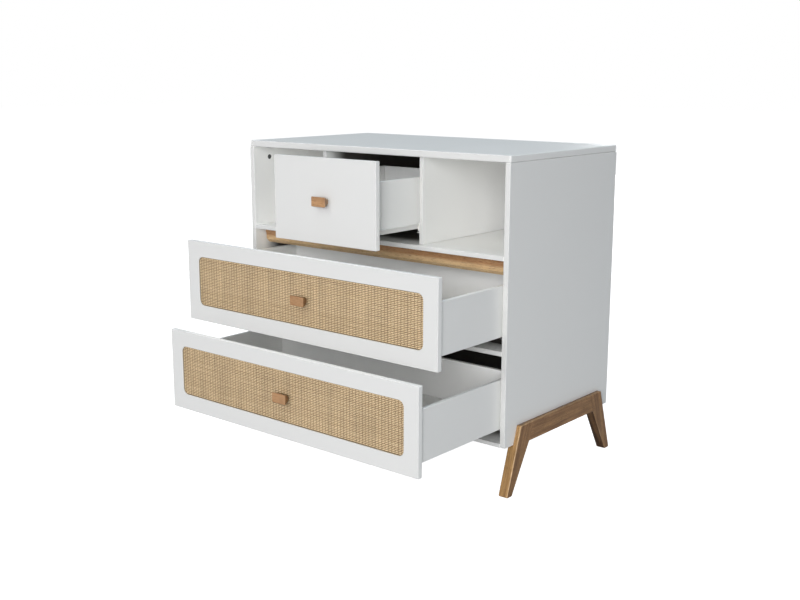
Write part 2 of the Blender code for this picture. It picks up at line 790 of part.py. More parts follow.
def make_roller(name, parent, place, radius):
    """A nylon roller round a pin along X, with its origin on its axis."""
    half = ROLLER_WIDTH / 2
    bore = PIN_RADIUS + GAP
    profile = (
        (bore, -half),
        (radius - ROLLER_EDGE, -half),
        (radius, ROLLER_EDGE - half),
        (radius, half - ROLLER_EDGE),
        (radius - ROLLER_EDGE, half),
        (bore, half),
    )
    bm = turned_mesh(profile, ROLLER_STEPS, closed=True)
    roller = add_piece(name, bm, place, parent, "nylon")
    roller.rotation_euler = (0, math.pi / 2, 0)
    roller.data.shade_smooth()
    roller.data.set_sharp_from_angle(angle=math.radians(30))


def make_rollers(case, drawer):
    """Two rollers on the case channels and two on the small drawer's runners."""
    across = roller_middle()
    front_y = CHANNEL_FRONT + ROLLER_END
    front_z = SMALL_LOW + case_roller_level()
    rear_y = BOX_START + SMALL_SLIDE_LENGTH - ROLLER_END
    for side, word in SIDES:
        place = (side * across, front_y, front_z)
        make_roller("case_roller_" + word, case, place, CASE_ROLLER_RADIUS)
        place = (side * across, rear_y, box_roller_level())
        make_roller("drawer_roller_" + word, drawer, place, BOX_ROLLER_RADIUS)


def make_looks():
    """The finishes: lacquer, hardboard, oak, cane, steels and nylon."""
    return {
        "lacquer": finish("white_lacquer", (0.76, 0.76, 0.75), 0.45),
        "hardboard": finish("white_hardboard", (0.70, 0.70, 0.68), 0.6),
        "oak": finish("oak", (0.42, 0.24, 0.11), 0.5),
        "cane": finish("cane", (0.62, 0.44, 0.22), 0.7),
        "zinc": finish("zinc_steel", (0.62, 0.63, 0.65), 0.35, 1.0),
        "dark_zinc": finish("dark_zinc", (0.12, 0.12, 0.12), 0.45, 0.8),
        "epoxy": finish("white_epoxy_steel", (0.74, 0.74, 0.72), 0.4),
        "nylon": finish("nylon", (0.80, 0.80, 0.78), 0.5),
    }


def make_chest():
    """The whole chest under one empty, which stands on the floor under the case."""
    case = add_empty("chest", (0, 0, 0))
    make_case(case)
    make_strip(case)
    make_legs(case)
    make_leg_rails(case)
    make_case_runners(case, LOWER_LOW, "lower")
    make_case_runners(case, UPPER_LOW, "upper")
    make_small_case_runners(case)
    make_large_drawer(case, "lower_drawer", LOWER_LOW, LOWER_OPEN)
    make_large_drawer(case, "upper_drawer", UPPER_LOW, UPPER_OPEN)
    small = make_small_drawer(case)
    make_small_drawer_runners(small)
    make_rollers(case, small)
    return case


def centre(case):
    """Shifts the chest along Y until it reaches as far to the front as to the rear."""
    bpy.context.view_layer.update()
    depsgraph = bpy.context.evaluated_depsgraph_get()
    reach = []
    for piece in PARTS.objects:
        if piece.type == "MESH":
            shape = piece.evaluated_get(depsgraph)
            reach += [(shape.matrix_world @ Vector(corner)).y for corner in shape.bound_box]
    case.location.y = -(min(reach) + max(reach)) / 2


clear_scene()
PARTS = new_collection("chest_of_drawers")
CUTTERS = new_collection("cutters")
LOOKS = make_looks()
centre(make_chest())
bpy.context.view_layer.update()
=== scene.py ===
# %% [markdown]
# # A white chest of drawers with cane fronts
#
# The real chest is a lacquered case on two oak leg frames. Two wide drawers have cane panels
# behind round-cornered windows, and a small drawer runs between two open niches.
#
# The construction comes from a fixed frame: every board, runner and roller is already there at
# its real size. This lesson dresses that frame. Pieces that need softer edges or more detail
# are made again as surfaces worked out with numpy, and every finish is a node material.

# %% Load the frame
import json

import bmesh
import bpy
import numpy as np
from mathutils import Matrix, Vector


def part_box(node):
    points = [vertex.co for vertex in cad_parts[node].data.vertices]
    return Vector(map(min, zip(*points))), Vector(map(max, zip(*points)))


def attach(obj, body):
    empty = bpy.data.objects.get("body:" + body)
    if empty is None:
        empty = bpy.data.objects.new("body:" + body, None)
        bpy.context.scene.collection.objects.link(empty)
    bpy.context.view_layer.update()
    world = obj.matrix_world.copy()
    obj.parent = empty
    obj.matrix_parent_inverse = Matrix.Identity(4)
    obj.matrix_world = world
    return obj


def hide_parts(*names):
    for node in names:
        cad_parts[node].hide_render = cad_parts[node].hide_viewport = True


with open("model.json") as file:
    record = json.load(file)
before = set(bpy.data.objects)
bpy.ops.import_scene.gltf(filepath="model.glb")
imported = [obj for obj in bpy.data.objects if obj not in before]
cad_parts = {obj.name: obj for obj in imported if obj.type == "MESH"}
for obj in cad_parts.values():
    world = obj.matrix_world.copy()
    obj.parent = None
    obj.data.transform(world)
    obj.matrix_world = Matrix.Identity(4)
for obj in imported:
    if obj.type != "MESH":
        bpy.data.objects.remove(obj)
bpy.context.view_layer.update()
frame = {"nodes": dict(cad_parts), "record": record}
MM = 0.001

# %% [markdown]
# ## The camera
#
# A product photographer stood to the right of the chest, a little above it, and looked down on
# it. A camera can be set by hand until it looks right, but four angles and a place that were
# solved from the straight edges of the case put every corner where it belongs. The camera's
# three axes are written as columns of a matrix, because a roll is then only a turn of the
# first two.

# %% Place the camera
CAMERA_PLACE = (2.10501, -2.46211, 1.16139)
CAMERA_YAW, CAMERA_PITCH, CAMERA_ROLL = 39.92, -11.89, 0.08
LENS_MM = 48.84


def camera_axes(yaw, pitch, roll):
    """The camera's right, up and backward directions: forward is (-sin yaw cos pitch,
    cos yaw cos pitch, sin pitch), right is level, up is right x forward, and a roll turns
    right and up about forward."""
    yaw, pitch, roll = np.radians([yaw, pitch, roll])
    forward = np.array([-np.sin(yaw) * np.cos(pitch), np.cos(yaw) * np.cos(pitch), np.sin(pitch)])
    level = np.array([np.cos(yaw), np.sin(yaw), 0.0])
    above = np.cross(level, forward)
    right = np.cos(roll) * level + np.sin(roll) * above
    up = np.cos(roll) * above - np.sin(roll) * level
    return right, up, -forward


camera = bpy.data.objects.new("camera", bpy.data.cameras.new("camera"))
camera.data.lens = LENS_MM
placed = np.identity(4)
placed[:3, :3] = np.column_stack(camera_axes(CAMERA_YAW, CAMERA_PITCH, CAMERA_ROLL))
placed[:3, 3] = CAMERA_PLACE
camera.matrix_world = Matrix(placed.tolist())
bpy.context.scene.collection.objects.link(camera)
bpy.context.scene.camera = camera
bpy.context.scene.view_settings.view_transform = "Standard"
print("camera", CAMERA_PLACE)

# %% [markdown]
# ## Measures taken from the frame
#
# Every board is already in the frame, so no width or level is typed twice. The boxes of the
# side panels, the shelf, the rail and a divider give the planes that the finishes and the new
# pieces need: the faces of the case, its middle, and the mouths of its closed bays.

# %% Measure the case


def box_of(node):
    """The lowest and highest corner of a node, as arrays."""
    low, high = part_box(node)
    return np.array(low), np.array(high)


side_low, side_high = box_of("side_panel_right")
shelf_low, shelf_high = box_of("niche_shelf")
divider_low, divider_high = box_of("divider_right")
back_low, back_high = box_of("back_panel")
CASE_FRONT, CASE_REAR = side_low[1], side_high[1]
CASE_MIDDLE, CASE_REACH = (CASE_FRONT + CASE_REAR) / 2, (CASE_REAR - CASE_FRONT) / 2
CASE_LOW, CASE_HIGH = side_low[2], side_high[2]
INNER_HALF, OUTER_HALF = side_low[0], side_high[0]
print("case from", round(CASE_FRONT / MM, 1), "to", round(CASE_REAR / MM, 1), "mm in depth")

# %% [markdown]
# ## Small helpers for nodes
#
# Materials here are built from code, so a few helpers keep them readable: one adds a node with
# its settings and inputs in a single call, two open and close a node group with named sockets,
# and the rest are short words for arithmetic, noise and colour. A group is the place for an
# effect that several finishes share, such as wear on edges.

# %% Node helpers


def add(tree, kind, inputs=None, **settings):
    """Adds a shader node, sets its properties, and links or fills its inputs."""
    made = tree.nodes.new("ShaderNode" + kind)
    for key, value in settings.items():
        setattr(made, key, value)
    for key, value in (inputs or {}).items():
        if isinstance(value, bpy.types.NodeSocket):
            tree.links.new(value, made.inputs[key])
        else:
            made.inputs[key].default_value = value
    return made


def open_group(name, takes, gives):
    """Starts a node group with the given sockets: name to kind and default, name to kind."""
    tree = bpy.data.node_groups.new(name, "ShaderNodeTree")
    sockets = tree.interface
    for label, (kind, value) in takes.items():
        socket = sockets.new_socket(name=label, in_out="INPUT", socket_type="NodeSocket" + kind)
        if value is not None:
            socket.default_value = value
    for label, kind in gives.items():
        sockets.new_socket(name=label, in_out="OUTPUT", socket_type="NodeSocket" + kind)
    return tree, tree.nodes.new("NodeGroupInput").outputs, tree.nodes.new("NodeGroupOutput").inputs


def close_group(tree, give, **results):
    """Links a group's results to its outputs."""
    for label, socket in results.items():
        tree.links.new(socket, give[label])
    return tree


def reckon(tree, operation, *values):
    """One step of arithmetic on sockets or numbers."""
    return add(tree, "Math", dict(enumerate(values)), operation=operation).outputs[0]


def times(tree, first, second):
    """The product of two values."""
    return reckon(tree, "MULTIPLY", first, second)


def stretched(tree, vector, factors):
    """A vector with each of its parts multiplied by its own factor."""
    return add(tree, "VectorMath", {0: vector, 1: factors}, operation="MULTIPLY").outputs[0]


def noise(tree, vector, scale, detail, roughness=0.5):
    """Noise in space, around 0.5."""
    inputs = {"Vector": vector, "Scale": scale, "Detail": detail, "Roughness": roughness}
    return add(tree, "TexNoise", inputs).outputs[0]


def mark(tree, label):
    """A number that is kept at the points of a piece's mesh."""
    return add(tree, "Attribute", attribute_name=label).outputs["Fac"]


def mix_colour(tree, factor, first, second, blend="MIX"):
    """The colour socket of a Mix node: factor 0 gives the first colour, 1 the second."""
    inputs = {0: factor, 6: first, 7: second}
    return add(tree, "Mix", inputs, data_type="RGBA", blend_type=blend).outputs[2]


def between(tree, value, low, high, new_low=0.0, new_high=1.0, **settings):
    """A value moved from one range to another, and held at its ends."""
    inputs = {0: value, 1: low, 2: high, 3: new_low, 4: new_high}
    return add(tree, "MapRange", inputs, **settings).outputs[0]


def paint(red, green, blue):
    """A colour as it is seen on a screen, from 0 to 255, turned into the shader's linear values:
    ((c + 0.055) / 1.055) ** 2.4 for all but the darkest."""
    seen = np.array([red, green, blue]) / 255
    return (*((seen + 0.055) / 1.055) ** 2.4, 1.0)


print("helpers ready")

# %% [markdown]
# ## Shared effects
#
# Sprayed lacquer is never one flat tone: it drifts a little from place to place, has a fine
# orange-peel skin, and is polished by hands along its edges, where a painted highlight also
# lightens it. Each of these is a node group with its own inputs, so that lacquer, oak, cane and
# steel can each take as much as they need.

# %% Group: tone drift


def make_drift_group():
    """Slow noise in space lightens and darkens a colour: colour x (1 + amount x (noise - 0.5))."""
    tree, take, give = open_group(
        "tone_drift",
        {"Vector": ("Vector", None), "Color": ("Color", (0.8, 0.8, 0.8, 1)),
         "Scale": ("Float", 4.0), "Amount": ("Float", 0.05)},
        {"Color": "Color"},
    )
    cloud = reckon(tree, "SUBTRACT", noise(tree, take["Vector"], take["Scale"], 3.0), 0.5)
    factor = reckon(tree, "MULTIPLY_ADD", cloud, take["Amount"], 1.0)
    brighter = add(tree, "VectorMath", {0: take["Color"], "Scale": factor}, operation="SCALE")
    return close_group(tree, give, Color=brighter.outputs[0])


DRIFT = make_drift_group()
print("group", DRIFT.name)

# %% Group: sprayed skin
PATCHES_PER_METRE = 9.0


def make_skin_group():
    """The orange peel of a sprayed film: fine rounded noise for the height, and slower noise
    that moves the roughness up and down."""
    tree, take, give = open_group(
        "sprayed_skin",
        {"Vector": ("Vector", None), "Peel per metre": ("Float", 320.0),
         "Roughness": ("Float", 0.4), "Swing": ("Float", 0.08)},
        {"Height": "Float", "Roughness": "Float"},
    )
    peel = noise(tree, take["Vector"], take["Peel per metre"], 2.0, 0.4)
    patch = reckon(tree, "SUBTRACT", noise(tree, take["Vector"], PATCHES_PER_METRE, 4.0), 0.5)
    rough = reckon(tree, "MULTIPLY_ADD", patch, take["Swing"], take["Roughness"])
    return close_group(tree, give, Height=peel, Roughness=rough)


SKIN = make_skin_group()
print("group", SKIN.name)

# %% Group: edge wear and painted highlight
RUBS_PER_METRE, RUBBED_GLOSS = 60.0, 0.12


def make_wear_and_sheen_group():
    """Rubbed edges with a painted highlight: the piece's own edge attribute, broken up by noise,
    mixes the worn colour (wear and highlight in one) in and lowers the roughness."""
    tree, take, give = open_group(
        "edge_wear_and_sheen",
        {"Vector": ("Vector", None), "Edge": ("Float", 0.0), "Color": ("Color", (0.8, 0.8, 0.8, 1)),
         "Worn": ("Color", (0.9, 0.9, 0.9, 1)), "Roughness": ("Float", 0.4)},
        {"Color": "Color", "Roughness": "Float"},
    )
    broken = noise(tree, take["Vector"], RUBS_PER_METRE, 3.0)
    mask = times(tree, take["Edge"], between(tree, broken, 0.35, 0.65, 0.25, 1.0))
    colour = mix_colour(tree, mask, take["Color"], take["Worn"])
    smooth = reckon(tree, "MULTIPLY_ADD", mask, -RUBBED_GLOSS, take["Roughness"])
    return close_group(tree, give, Color=colour, Roughness=smooth)


WEAR_AND_SHEEN = make_wear_and_sheen_group()
print("group", WEAR_AND_SHEEN.name)

# %% [markdown]
# ## The closed bays
#
# The photograph shows the two niches bright, but the bays of the drawers nearly black behind
# their mouths, because no light comes round the drawers. That shade is painted into the
# finishes: a group gives the depth inside a bay as a mask made from plain coordinates, so one
# material serves the whole case.

# %% Group: bay depth, the mask of the painted shade
BAY_MOUTH, BAY_DARK = CASE_FRONT + 30 * MM, CASE_FRONT + 110 * MM
BAY_SKIN = 0.3 * MM


def inside_span(tree, value, low, high):
    """1 where the value lies between two numbers, 0 elsewhere."""
    middle, half = (low + high) / 2, (high - low) / 2 + BAY_SKIN
    return reckon(tree, "COMPARE", value, middle, half)


def make_bay_group():
    """The mask of the painted shade: how deep a point lies in a closed bay, from 0 near its mouth
    to 1 at 110 mm behind it.

    The wide bays reach from side panel to side panel below the shelf, and the small bay lies
    between the dividers above it.
    """
    tree, take, give = open_group("bay_depth", {"Vector": ("Vector", None)}, {"Mask": "Float"})
    place = add(tree, "SeparateXYZ", {0: take["Vector"]}).outputs
    side = reckon(tree, "ABSOLUTE", place[0])
    wide = times(tree, inside_span(tree, side, -INNER_HALF, INNER_HALF),
                 inside_span(tree, place[2], box_of("bottom_panel")[1][2], shelf_low[2]))
    small = times(tree, inside_span(tree, side, -divider_low[0], divider_low[0]),
                  inside_span(tree, place[2], shelf_high[2], CASE_HIGH))
    either = reckon(tree, "MAXIMUM", wide, small)
    before_back = inside_span(tree, place[1], CASE_FRONT, back_low[1] + BAY_SKIN)
    depth = between(tree, place[1], BAY_MOUTH, BAY_DARK, interpolation_type="SMOOTHSTEP")
    return close_group(tree, give, Mask=times(tree, times(tree, either, before_back), depth))


BAY = make_bay_group()
print("group", BAY.name)

# %% [markdown]
# ## Oak grain
#
# Planks show three things from near: broad bands of early and late wood, dark pores drawn out
# along the grain, and a fine fibre between them. All three are noise that is squeezed across
# the grain and stretched along it. The group expects a vector whose X runs along the grain,
# and each oak material turns the vector to suit its own piece.

# %% Group: oak grain
BEND_SCALE, BEND = 5.0, (0.0, 3.0, 3.0)
BAND_STRETCH, FIBRE_STRETCH = (4.0, 95.0, 95.0), (12.0, 520.0, 520.0)
PORE_STRETCH = (70.0, 1500.0, 1500.0)


def make_oak_group():
    """Bands, pores and fibres as noise of (x / long, y, z), with a long step along X."""
    tree, take, give = open_group(
        "oak_grain",
        {"Vector": ("Vector", None), "Light": ("Color", (0.5, 0.3, 0.15, 1)),
         "Dark": ("Color", (0.25, 0.13, 0.06, 1)), "Pore": ("Color", (0.1, 0.05, 0.02, 1))},
        {"Color": "Color", "Height": "Float", "Pores": "Float"},
    )
    vector = take["Vector"]
    bend = add(tree, "TexNoise", {"Vector": vector, "Scale": BEND_SCALE, "Detail": 1.0}).outputs[1]
    bent = add(tree, "VectorMath", {0: bend, 1: BEND, 2: stretched(tree, vector, BAND_STRETCH)},
               operation="MULTIPLY_ADD").outputs[0]
    bands = noise(tree, bent, 1.0, 3.0, 0.6)
    fibre = noise(tree, stretched(tree, vector, FIBRE_STRETCH), 1.0, 2.0)
    cells = noise(tree, stretched(tree, vector, PORE_STRETCH), 1.0, 0.0)
    pores = between(tree, cells, 0.26, 0.38, 0.7, 0.0)
    banded = mix_colour(tree, between(tree, bands, 0.30, 0.70), take["Dark"], take["Light"])
    fibred = mix_colour(tree, between(tree, fibre, 0.35, 0.68, 0.0, 0.75), banded, take["Dark"])
    pored = mix_colour(tree, pores, fibred, take["Pore"])
    height = reckon(tree, "SUBTRACT", fibre, pores)
    return close_group(tree, give, Color=pored, Height=height, Pores=pores)


OAK = make_oak_group()
print("group", OAK.name)

# %% [markdown]
# ## Cane fibre
#
# Cane is split from a climbing palm. Its skin has fine streaks along the strand, and no two
# strands have the same tone. The streaks follow each strand through its UV map, with metres
# along it in U and the share across it in V, and the tone is an attribute of the strand.

# %% Group: cane fibre
STREAK_STRETCH, TONE_SHARE = (90.0, 5.0, 40.0), 0.65


def make_cane_group():
    """Streaks from noise of (u, v, tone), each stretched, mixed with the strand's own tone."""
    tree, take, give = open_group(
        "cane_fibre",
        {"Strand": ("Vector", None), "Tone": ("Float", 0.5), "Light": ("Color", (0.7, 0.5, 0.3, 1)),
         "Dark": ("Color", (0.4, 0.25, 0.1, 1))},
        {"Color": "Color", "Height": "Float"},
    )
    along, across, _ = add(tree, "SeparateXYZ", {0: take["Strand"]}).outputs
    place = add(tree, "CombineXYZ", {0: along, 1: across, 2: take["Tone"]}).outputs[0]
    streak = noise(tree, stretched(tree, place, STREAK_STRETCH), 1.0, 4.0, 0.65)
    streaked = times(tree, between(tree, streak, 0.3, 0.7), 1 - TONE_SHARE)
    shade = reckon(tree, "MULTIPLY_ADD", take["Tone"], TONE_SHARE, streaked)
    colour = mix_colour(tree, shade, take["Light"], take["Dark"])
    return close_group(tree, give, Color=colour, Height=streak)


CANE = make_cane_group()
print("group", CANE.name)

# %% [markdown]
# ## The finishes
#
# Each material keeps its own Principled shader. Only colours, roughness and normals come from
# the groups; plain numbers stay on the shader. The lacquer is a satin white. The photograph
# shows every face that looks forward as one flat light grey, which lights alone don't give, so
# those faces take a painted shade, a greyer colour mixed in by a mark at their points. The
# drawer boxes are a shade duller, the back is a matt white foil, and the oak is oiled to a warm
# brown.

# %% Lacquer, foil and epoxy
LOOKS = {}
FILM_CLOUDS, OAK_CLOUDS, CANE_CLOUDS = 3.5, 14.0, 55.0


def start_look(name, slot, **constants):
    """A material with its shader's plain values, listed with the slot that it stands for."""
    look = bpy.data.materials.new(name)
    look.use_nodes = True
    shader = look.node_tree.nodes["Principled BSDF"]
    for label, value in constants.items():
        shader.inputs[label.replace("_", " ")].default_value = value
    LOOKS[name] = (look, slot)
    return look.node_tree, shader


def use_group(tree, group, **inputs):
    """Places a node group in a material and fills its inputs."""
    made = tree.nodes.new("ShaderNodeGroup")
    made.node_tree = group
    for label, value in inputs.items():
        label = label.replace("_", " ")
        if isinstance(value, bpy.types.NodeSocket):
            tree.links.new(value, made.inputs[label])
        else:
            made.inputs[label].default_value = value
    return made.outputs


def finish_look(tree, shader, colour, roughness, height, strength, relief):
    """Links a colour and a roughness, and makes the normal from a height of so deep a relief."""
    bump = add(tree, "Bump", {"Height": height, "Strength": strength, "Distance": relief})
    tree.links.new(colour, shader.inputs["Base Color"])
    tree.links.new(roughness, shader.inputs["Roughness"])
    tree.links.new(bump.outputs[0], shader.inputs["Normal"])


def make_sprayed(name, slot, colour, worn, roughness, peel=320.0, drift=0.012, bay=None, front=None):
    """A sprayed or coated finish: drifting tone, worn edges with a painted highlight, and orange
    peel. The front colour is a painted shade on the faces that look forward, and the inside of a
    closed bay fades to the bay colour, a painted shade."""
    tree, shader = start_look(name, slot)
    place = add(tree, "TexCoord").outputs["Object"]
    edge = mark(tree, "edge")
    # Faces that look forward, and their worn edges, mix in the front colour, a painted shade, by their
    # facing mark.
    if front:
        facing = mark(tree, "facing")
        colour, worn = mix_colour(tree, facing, colour, front), mix_colour(tree, facing, worn, front)
    tone = use_group(tree, DRIFT, Vector=place, Color=colour, Scale=FILM_CLOUDS, Amount=drift)
    skin = use_group(tree, SKIN, Vector=place, Peel_per_metre=peel, Roughness=roughness)
    # The edges take the worn colour: wear, with a painted highlight along them.
    worn_and_lit_edge = use_group(tree, WEAR_AND_SHEEN, Vector=place, Edge=edge, Color=tone["Color"], Worn=worn,
                          Roughness=skin["Roughness"])
    coat = worn_and_lit_edge["Color"]
    # Inside a closed bay the coat fades to the bay colour: painted shade.
    if bay:
        coat = mix_colour(tree, use_group(tree, BAY, Vector=place)["Mask"], coat, bay)
    finish_look(tree, shader, coat, worn_and_lit_edge["Roughness"], skin["Height"], 0.05, 0.1 * MM)


# The bay colour is painted shade deep in the closed bays. The worn colour is edge wear with a painted
# highlight.
LACQUER, LACQUER_WEAR_AND_SHEEN, BAY_SHADE_COLOUR = paint(247, 247, 244), paint(249, 249, 247), paint(84, 80, 75)
# Forward faces get the most light: this greyer colour is a painted shade that holds them at one flat
# grey.
FRONT_PAINTED_SHADE = paint(203, 203, 200)
# The boxes' worn colour is edge wear with a painted highlight.
BOX_LACQUER, BOX_WEAR_AND_SHEEN = paint(244, 244, 241), paint(246, 246, 243)
make_sprayed("box_lacquer", "lacquer", BOX_LACQUER, BOX_WEAR_AND_SHEEN, 0.42)
make_sprayed("front_lacquer", "lacquer", LACQUER, LACQUER_WEAR_AND_SHEEN, 0.42, front=FRONT_PAINTED_SHADE)
make_sprayed("case_lacquer", "lacquer", LACQUER, LACQUER_WEAR_AND_SHEEN, 0.42, bay=BAY_SHADE_COLOUR,
             front=FRONT_PAINTED_SHADE)
make_sprayed("white_foil", "hardboard", paint(246, 246, 243), paint(226, 221, 212), 0.55,
             bay=BAY_SHADE_COLOUR)
make_sprayed("white_epoxy", "white_epoxy", paint(228, 228, 224), paint(236, 236, 232), 0.35, 900.0)
make_sprayed("white_nylon", "nylon", paint(230, 229, 222), paint(238, 237, 230), 0.45, 500.0)
print("finishes", sorted(LOOKS))

# %% Oak, one material for each direction of the grain
OAK_LIGHT, OAK_DARK, OAK_PORE = paint(192, 147, 99), paint(130, 93, 58), paint(86, 58, 34)
# Edge colours: wear with a painted highlight, and on the front legs a painted highlight line.
OAK_WEAR_AND_SHEEN, FRONT_LEG_HIGHLIGHT, KNOB_WEAR_AND_SHEEN = paint(166, 136, 104), paint(210, 176, 134), paint(184, 146, 106)
STRIP_LIGHT, STRIP_DARK = paint(214, 184, 140), paint(184, 150, 108)
KNOB_LIGHT, KNOB_DARK = paint(178, 138, 98), paint(138, 100, 66)
# The shelf's shadow on the strip's upper part is painted: its colour, and where below the strip's top
# it starts and is full.
STRIP_PAINTED_SHADOW, SHADOW_START, SHADOW_FULL = (0.66, 0.52, 0.44, 1), 30 * MM, 22 * MM
# The front legs' forward faces catch the light, and the rear legs' lie in the case's shade.
FRONT_LEG_PAINTED_LIGHT, REAR_LEG_PAINTED_SHADE = (1.02, 1.1, 0.95, 1), (0.14, 0.12, 0.1, 1)


def make_oak(name, turn, light=OAK_LIGHT, dark=OAK_DARK, offset=(0.0, 0.0, 0.0), worn=OAK_WEAR_AND_SHEEN,
             painted_light=None, shadow_levels=None):
    """Oiled oak whose grain runs along X of a vector turned by these angles. Painted light or
    shade multiplies the colour of the faces that look forward, and a piece with shadow levels
    takes a painted shadow that darkens it upwards from the first level to the second."""
    tree, shader = start_look(name, "oak", Coat_Roughness=0.35, Specular_IOR_Level=0.45)
    place = add(tree, "TexCoord").outputs["Object"]
    turned = add(tree, "Mapping", {"Vector": place, "Location": offset,
                                   "Rotation": np.radians(turn)}).outputs[0]
    edge = mark(tree, "edge")
    grain = use_group(tree, OAK, Vector=turned, Light=light, Dark=dark, Pore=OAK_PORE)
    tone = use_group(tree, DRIFT, Vector=place, Color=grain["Color"], Scale=OAK_CLOUDS, Amount=0.5)
    rough = between(tree, grain["Pores"], 0.0, 1.0, 0.42, 0.7)
    coat = tone["Color"]
    # Painted light and shade multiply the forward faces, by their facing mark.
    if painted_light:
        facing = mark(tree, "facing")
        coat = mix_colour(tree, facing, coat, painted_light, "MULTIPLY")
    # A painted shadow darkens the piece upwards between the two levels.
    if shadow_levels:
        level = add(tree, "SeparateXYZ", {0: place}).outputs[2]
        coat = mix_colour(tree, between(tree, level, *shadow_levels), coat, STRIP_PAINTED_SHADOW, "MULTIPLY")
    # Rubbed edges with a painted highlight.
    rubbed_and_lit = use_group(tree, WEAR_AND_SHEEN, Vector=place, Edge=edge, Color=coat, Worn=worn, Roughness=rough)
    finish_look(tree, shader, rubbed_and_lit["Color"], rubbed_and_lit["Roughness"], grain["Height"], 0.35, 0.15 * MM)


strip_top = box_of("accent_strip")[1][2]
make_oak("oak_strip", (0, 0, 0), STRIP_LIGHT, STRIP_DARK, worn=STRIP_LIGHT,
         shadow_levels=(strip_top - SHADOW_START, strip_top - SHADOW_FULL))
make_oak("oak_knob", (0, 0, 0), KNOB_LIGHT, KNOB_DARK, (0.37, 0.11, 0.0), KNOB_WEAR_AND_SHEEN)
make_oak("oak_rail", (0, 0, 90))
make_oak("oak_front_leg", (110, 0, 90), worn=FRONT_LEG_HIGHLIGHT, painted_light=FRONT_LEG_PAINTED_LIGHT)
make_oak("oak_rear_leg", (70, 0, 90), painted_light=REAR_LEG_PAINTED_SHADE)
print("oak", [name for name in LOOKS if name.startswith("oak")])

# %% Cane, its backing and a ring of painted shade
PATCH_STRETCH = (1.0, 1.0, 0.15)
# The board behind the weave is dark brown: painted shade where it shows between the strands.
make_sprayed("cane_shaded_backing", "cane", paint(84, 62, 40), paint(110, 84, 54), 0.7, 500.0, 0.3)
# A grey-brown ring of painted shade fills the corner between each window's lip and the weave.
make_sprayed("cane_shade_ring", "cane", paint(150, 136, 110), paint(160, 146, 120), 0.6, 500.0, 0.1)


def make_cane(name, light, dark):
    """Cane strands: own tone, streaks along the strand, and tall patches over the panel."""
    tree, shader = start_look(name, "cane", Specular_IOR_Level=0.4)
    place = add(tree, "TexCoord")
    fibre = use_group(tree, CANE, Strand=place.outputs["UV"], Tone=mark(tree, "tone"), Light=light,
                      Dark=dark)
    tall = stretched(tree, place.outputs["Object"], PATCH_STRETCH)
    drift = use_group(tree, DRIFT, Vector=tall, Color=fibre["Color"], Scale=CANE_CLOUDS, Amount=0.5)
    rough = between(tree, fibre["Height"], 0.3, 0.7, 0.42, 0.62)
    finish_look(tree, shader, drift["Color"], rough, fibre["Height"], 0.4, 0.1 * MM)


make_cane("cane_weft", paint(224, 200, 162), paint(194, 168, 128))
# The warps are darker than the wefts: partly their own tone, partly painted shade of the grooves
# beside them.
make_cane("cane_warp", paint(160, 132, 94), paint(118, 94, 64))
print("cane", [name for name in LOOKS if name.startswith("cane")])

# %% Steel
SPANGLES_PER_METRE, LINE_STRETCH = 240.0, (1500.0, 12.0, 1500.0)


def make_steel(name, slot, light, dark, roughness):
    """Plated sheet: metal with spangles from a cell pattern and fine lines along its length."""
    tree, shader = start_look(name, slot, Metallic=1.0)
    place = add(tree, "TexCoord").outputs["Object"]
    cells = add(tree, "TexVoronoi", {"Vector": place, "Scale": SPANGLES_PER_METRE})
    grey = add(tree, "SeparateColor", {0: cells.outputs["Color"]}).outputs[0]
    lines = noise(tree, stretched(tree, place, LINE_STRETCH), 1.0, 2.0)
    rough = between(tree, lines, 0.3, 0.7, roughness - 0.08, roughness + 0.10)
    finish_look(tree, shader, mix_colour(tree, grey, light, dark), rough, lines, 0.2, 0.05 * MM)


make_steel("zinc_steel", "zinc_steel", paint(205, 206, 208), paint(180, 182, 186), 0.35)
make_steel("dark_zinc", "dark_zinc", paint(120, 120, 120), paint(92, 92, 92), 0.45)
print("steel ready, looks", len(LOOKS))

# %% [markdown]
# ## Soft outlines
#
# Boards, leg frames, windows and knobs are all outlines with thickness. One formula draws an
# outline with round corners at any inset, and stacking such loops with growing insets rounds
# the edges too. A Bevel modifier could do this on a box, but the loops also make windows,
# rebates and tapers, and they know which of their points lie on an edge, which the wear and
# its painted highlight use.

# %% Loops with round corners
FLAT, SLACK = 1e-6, 1e-3
LEAST_RADIUS = 0.05 * MM


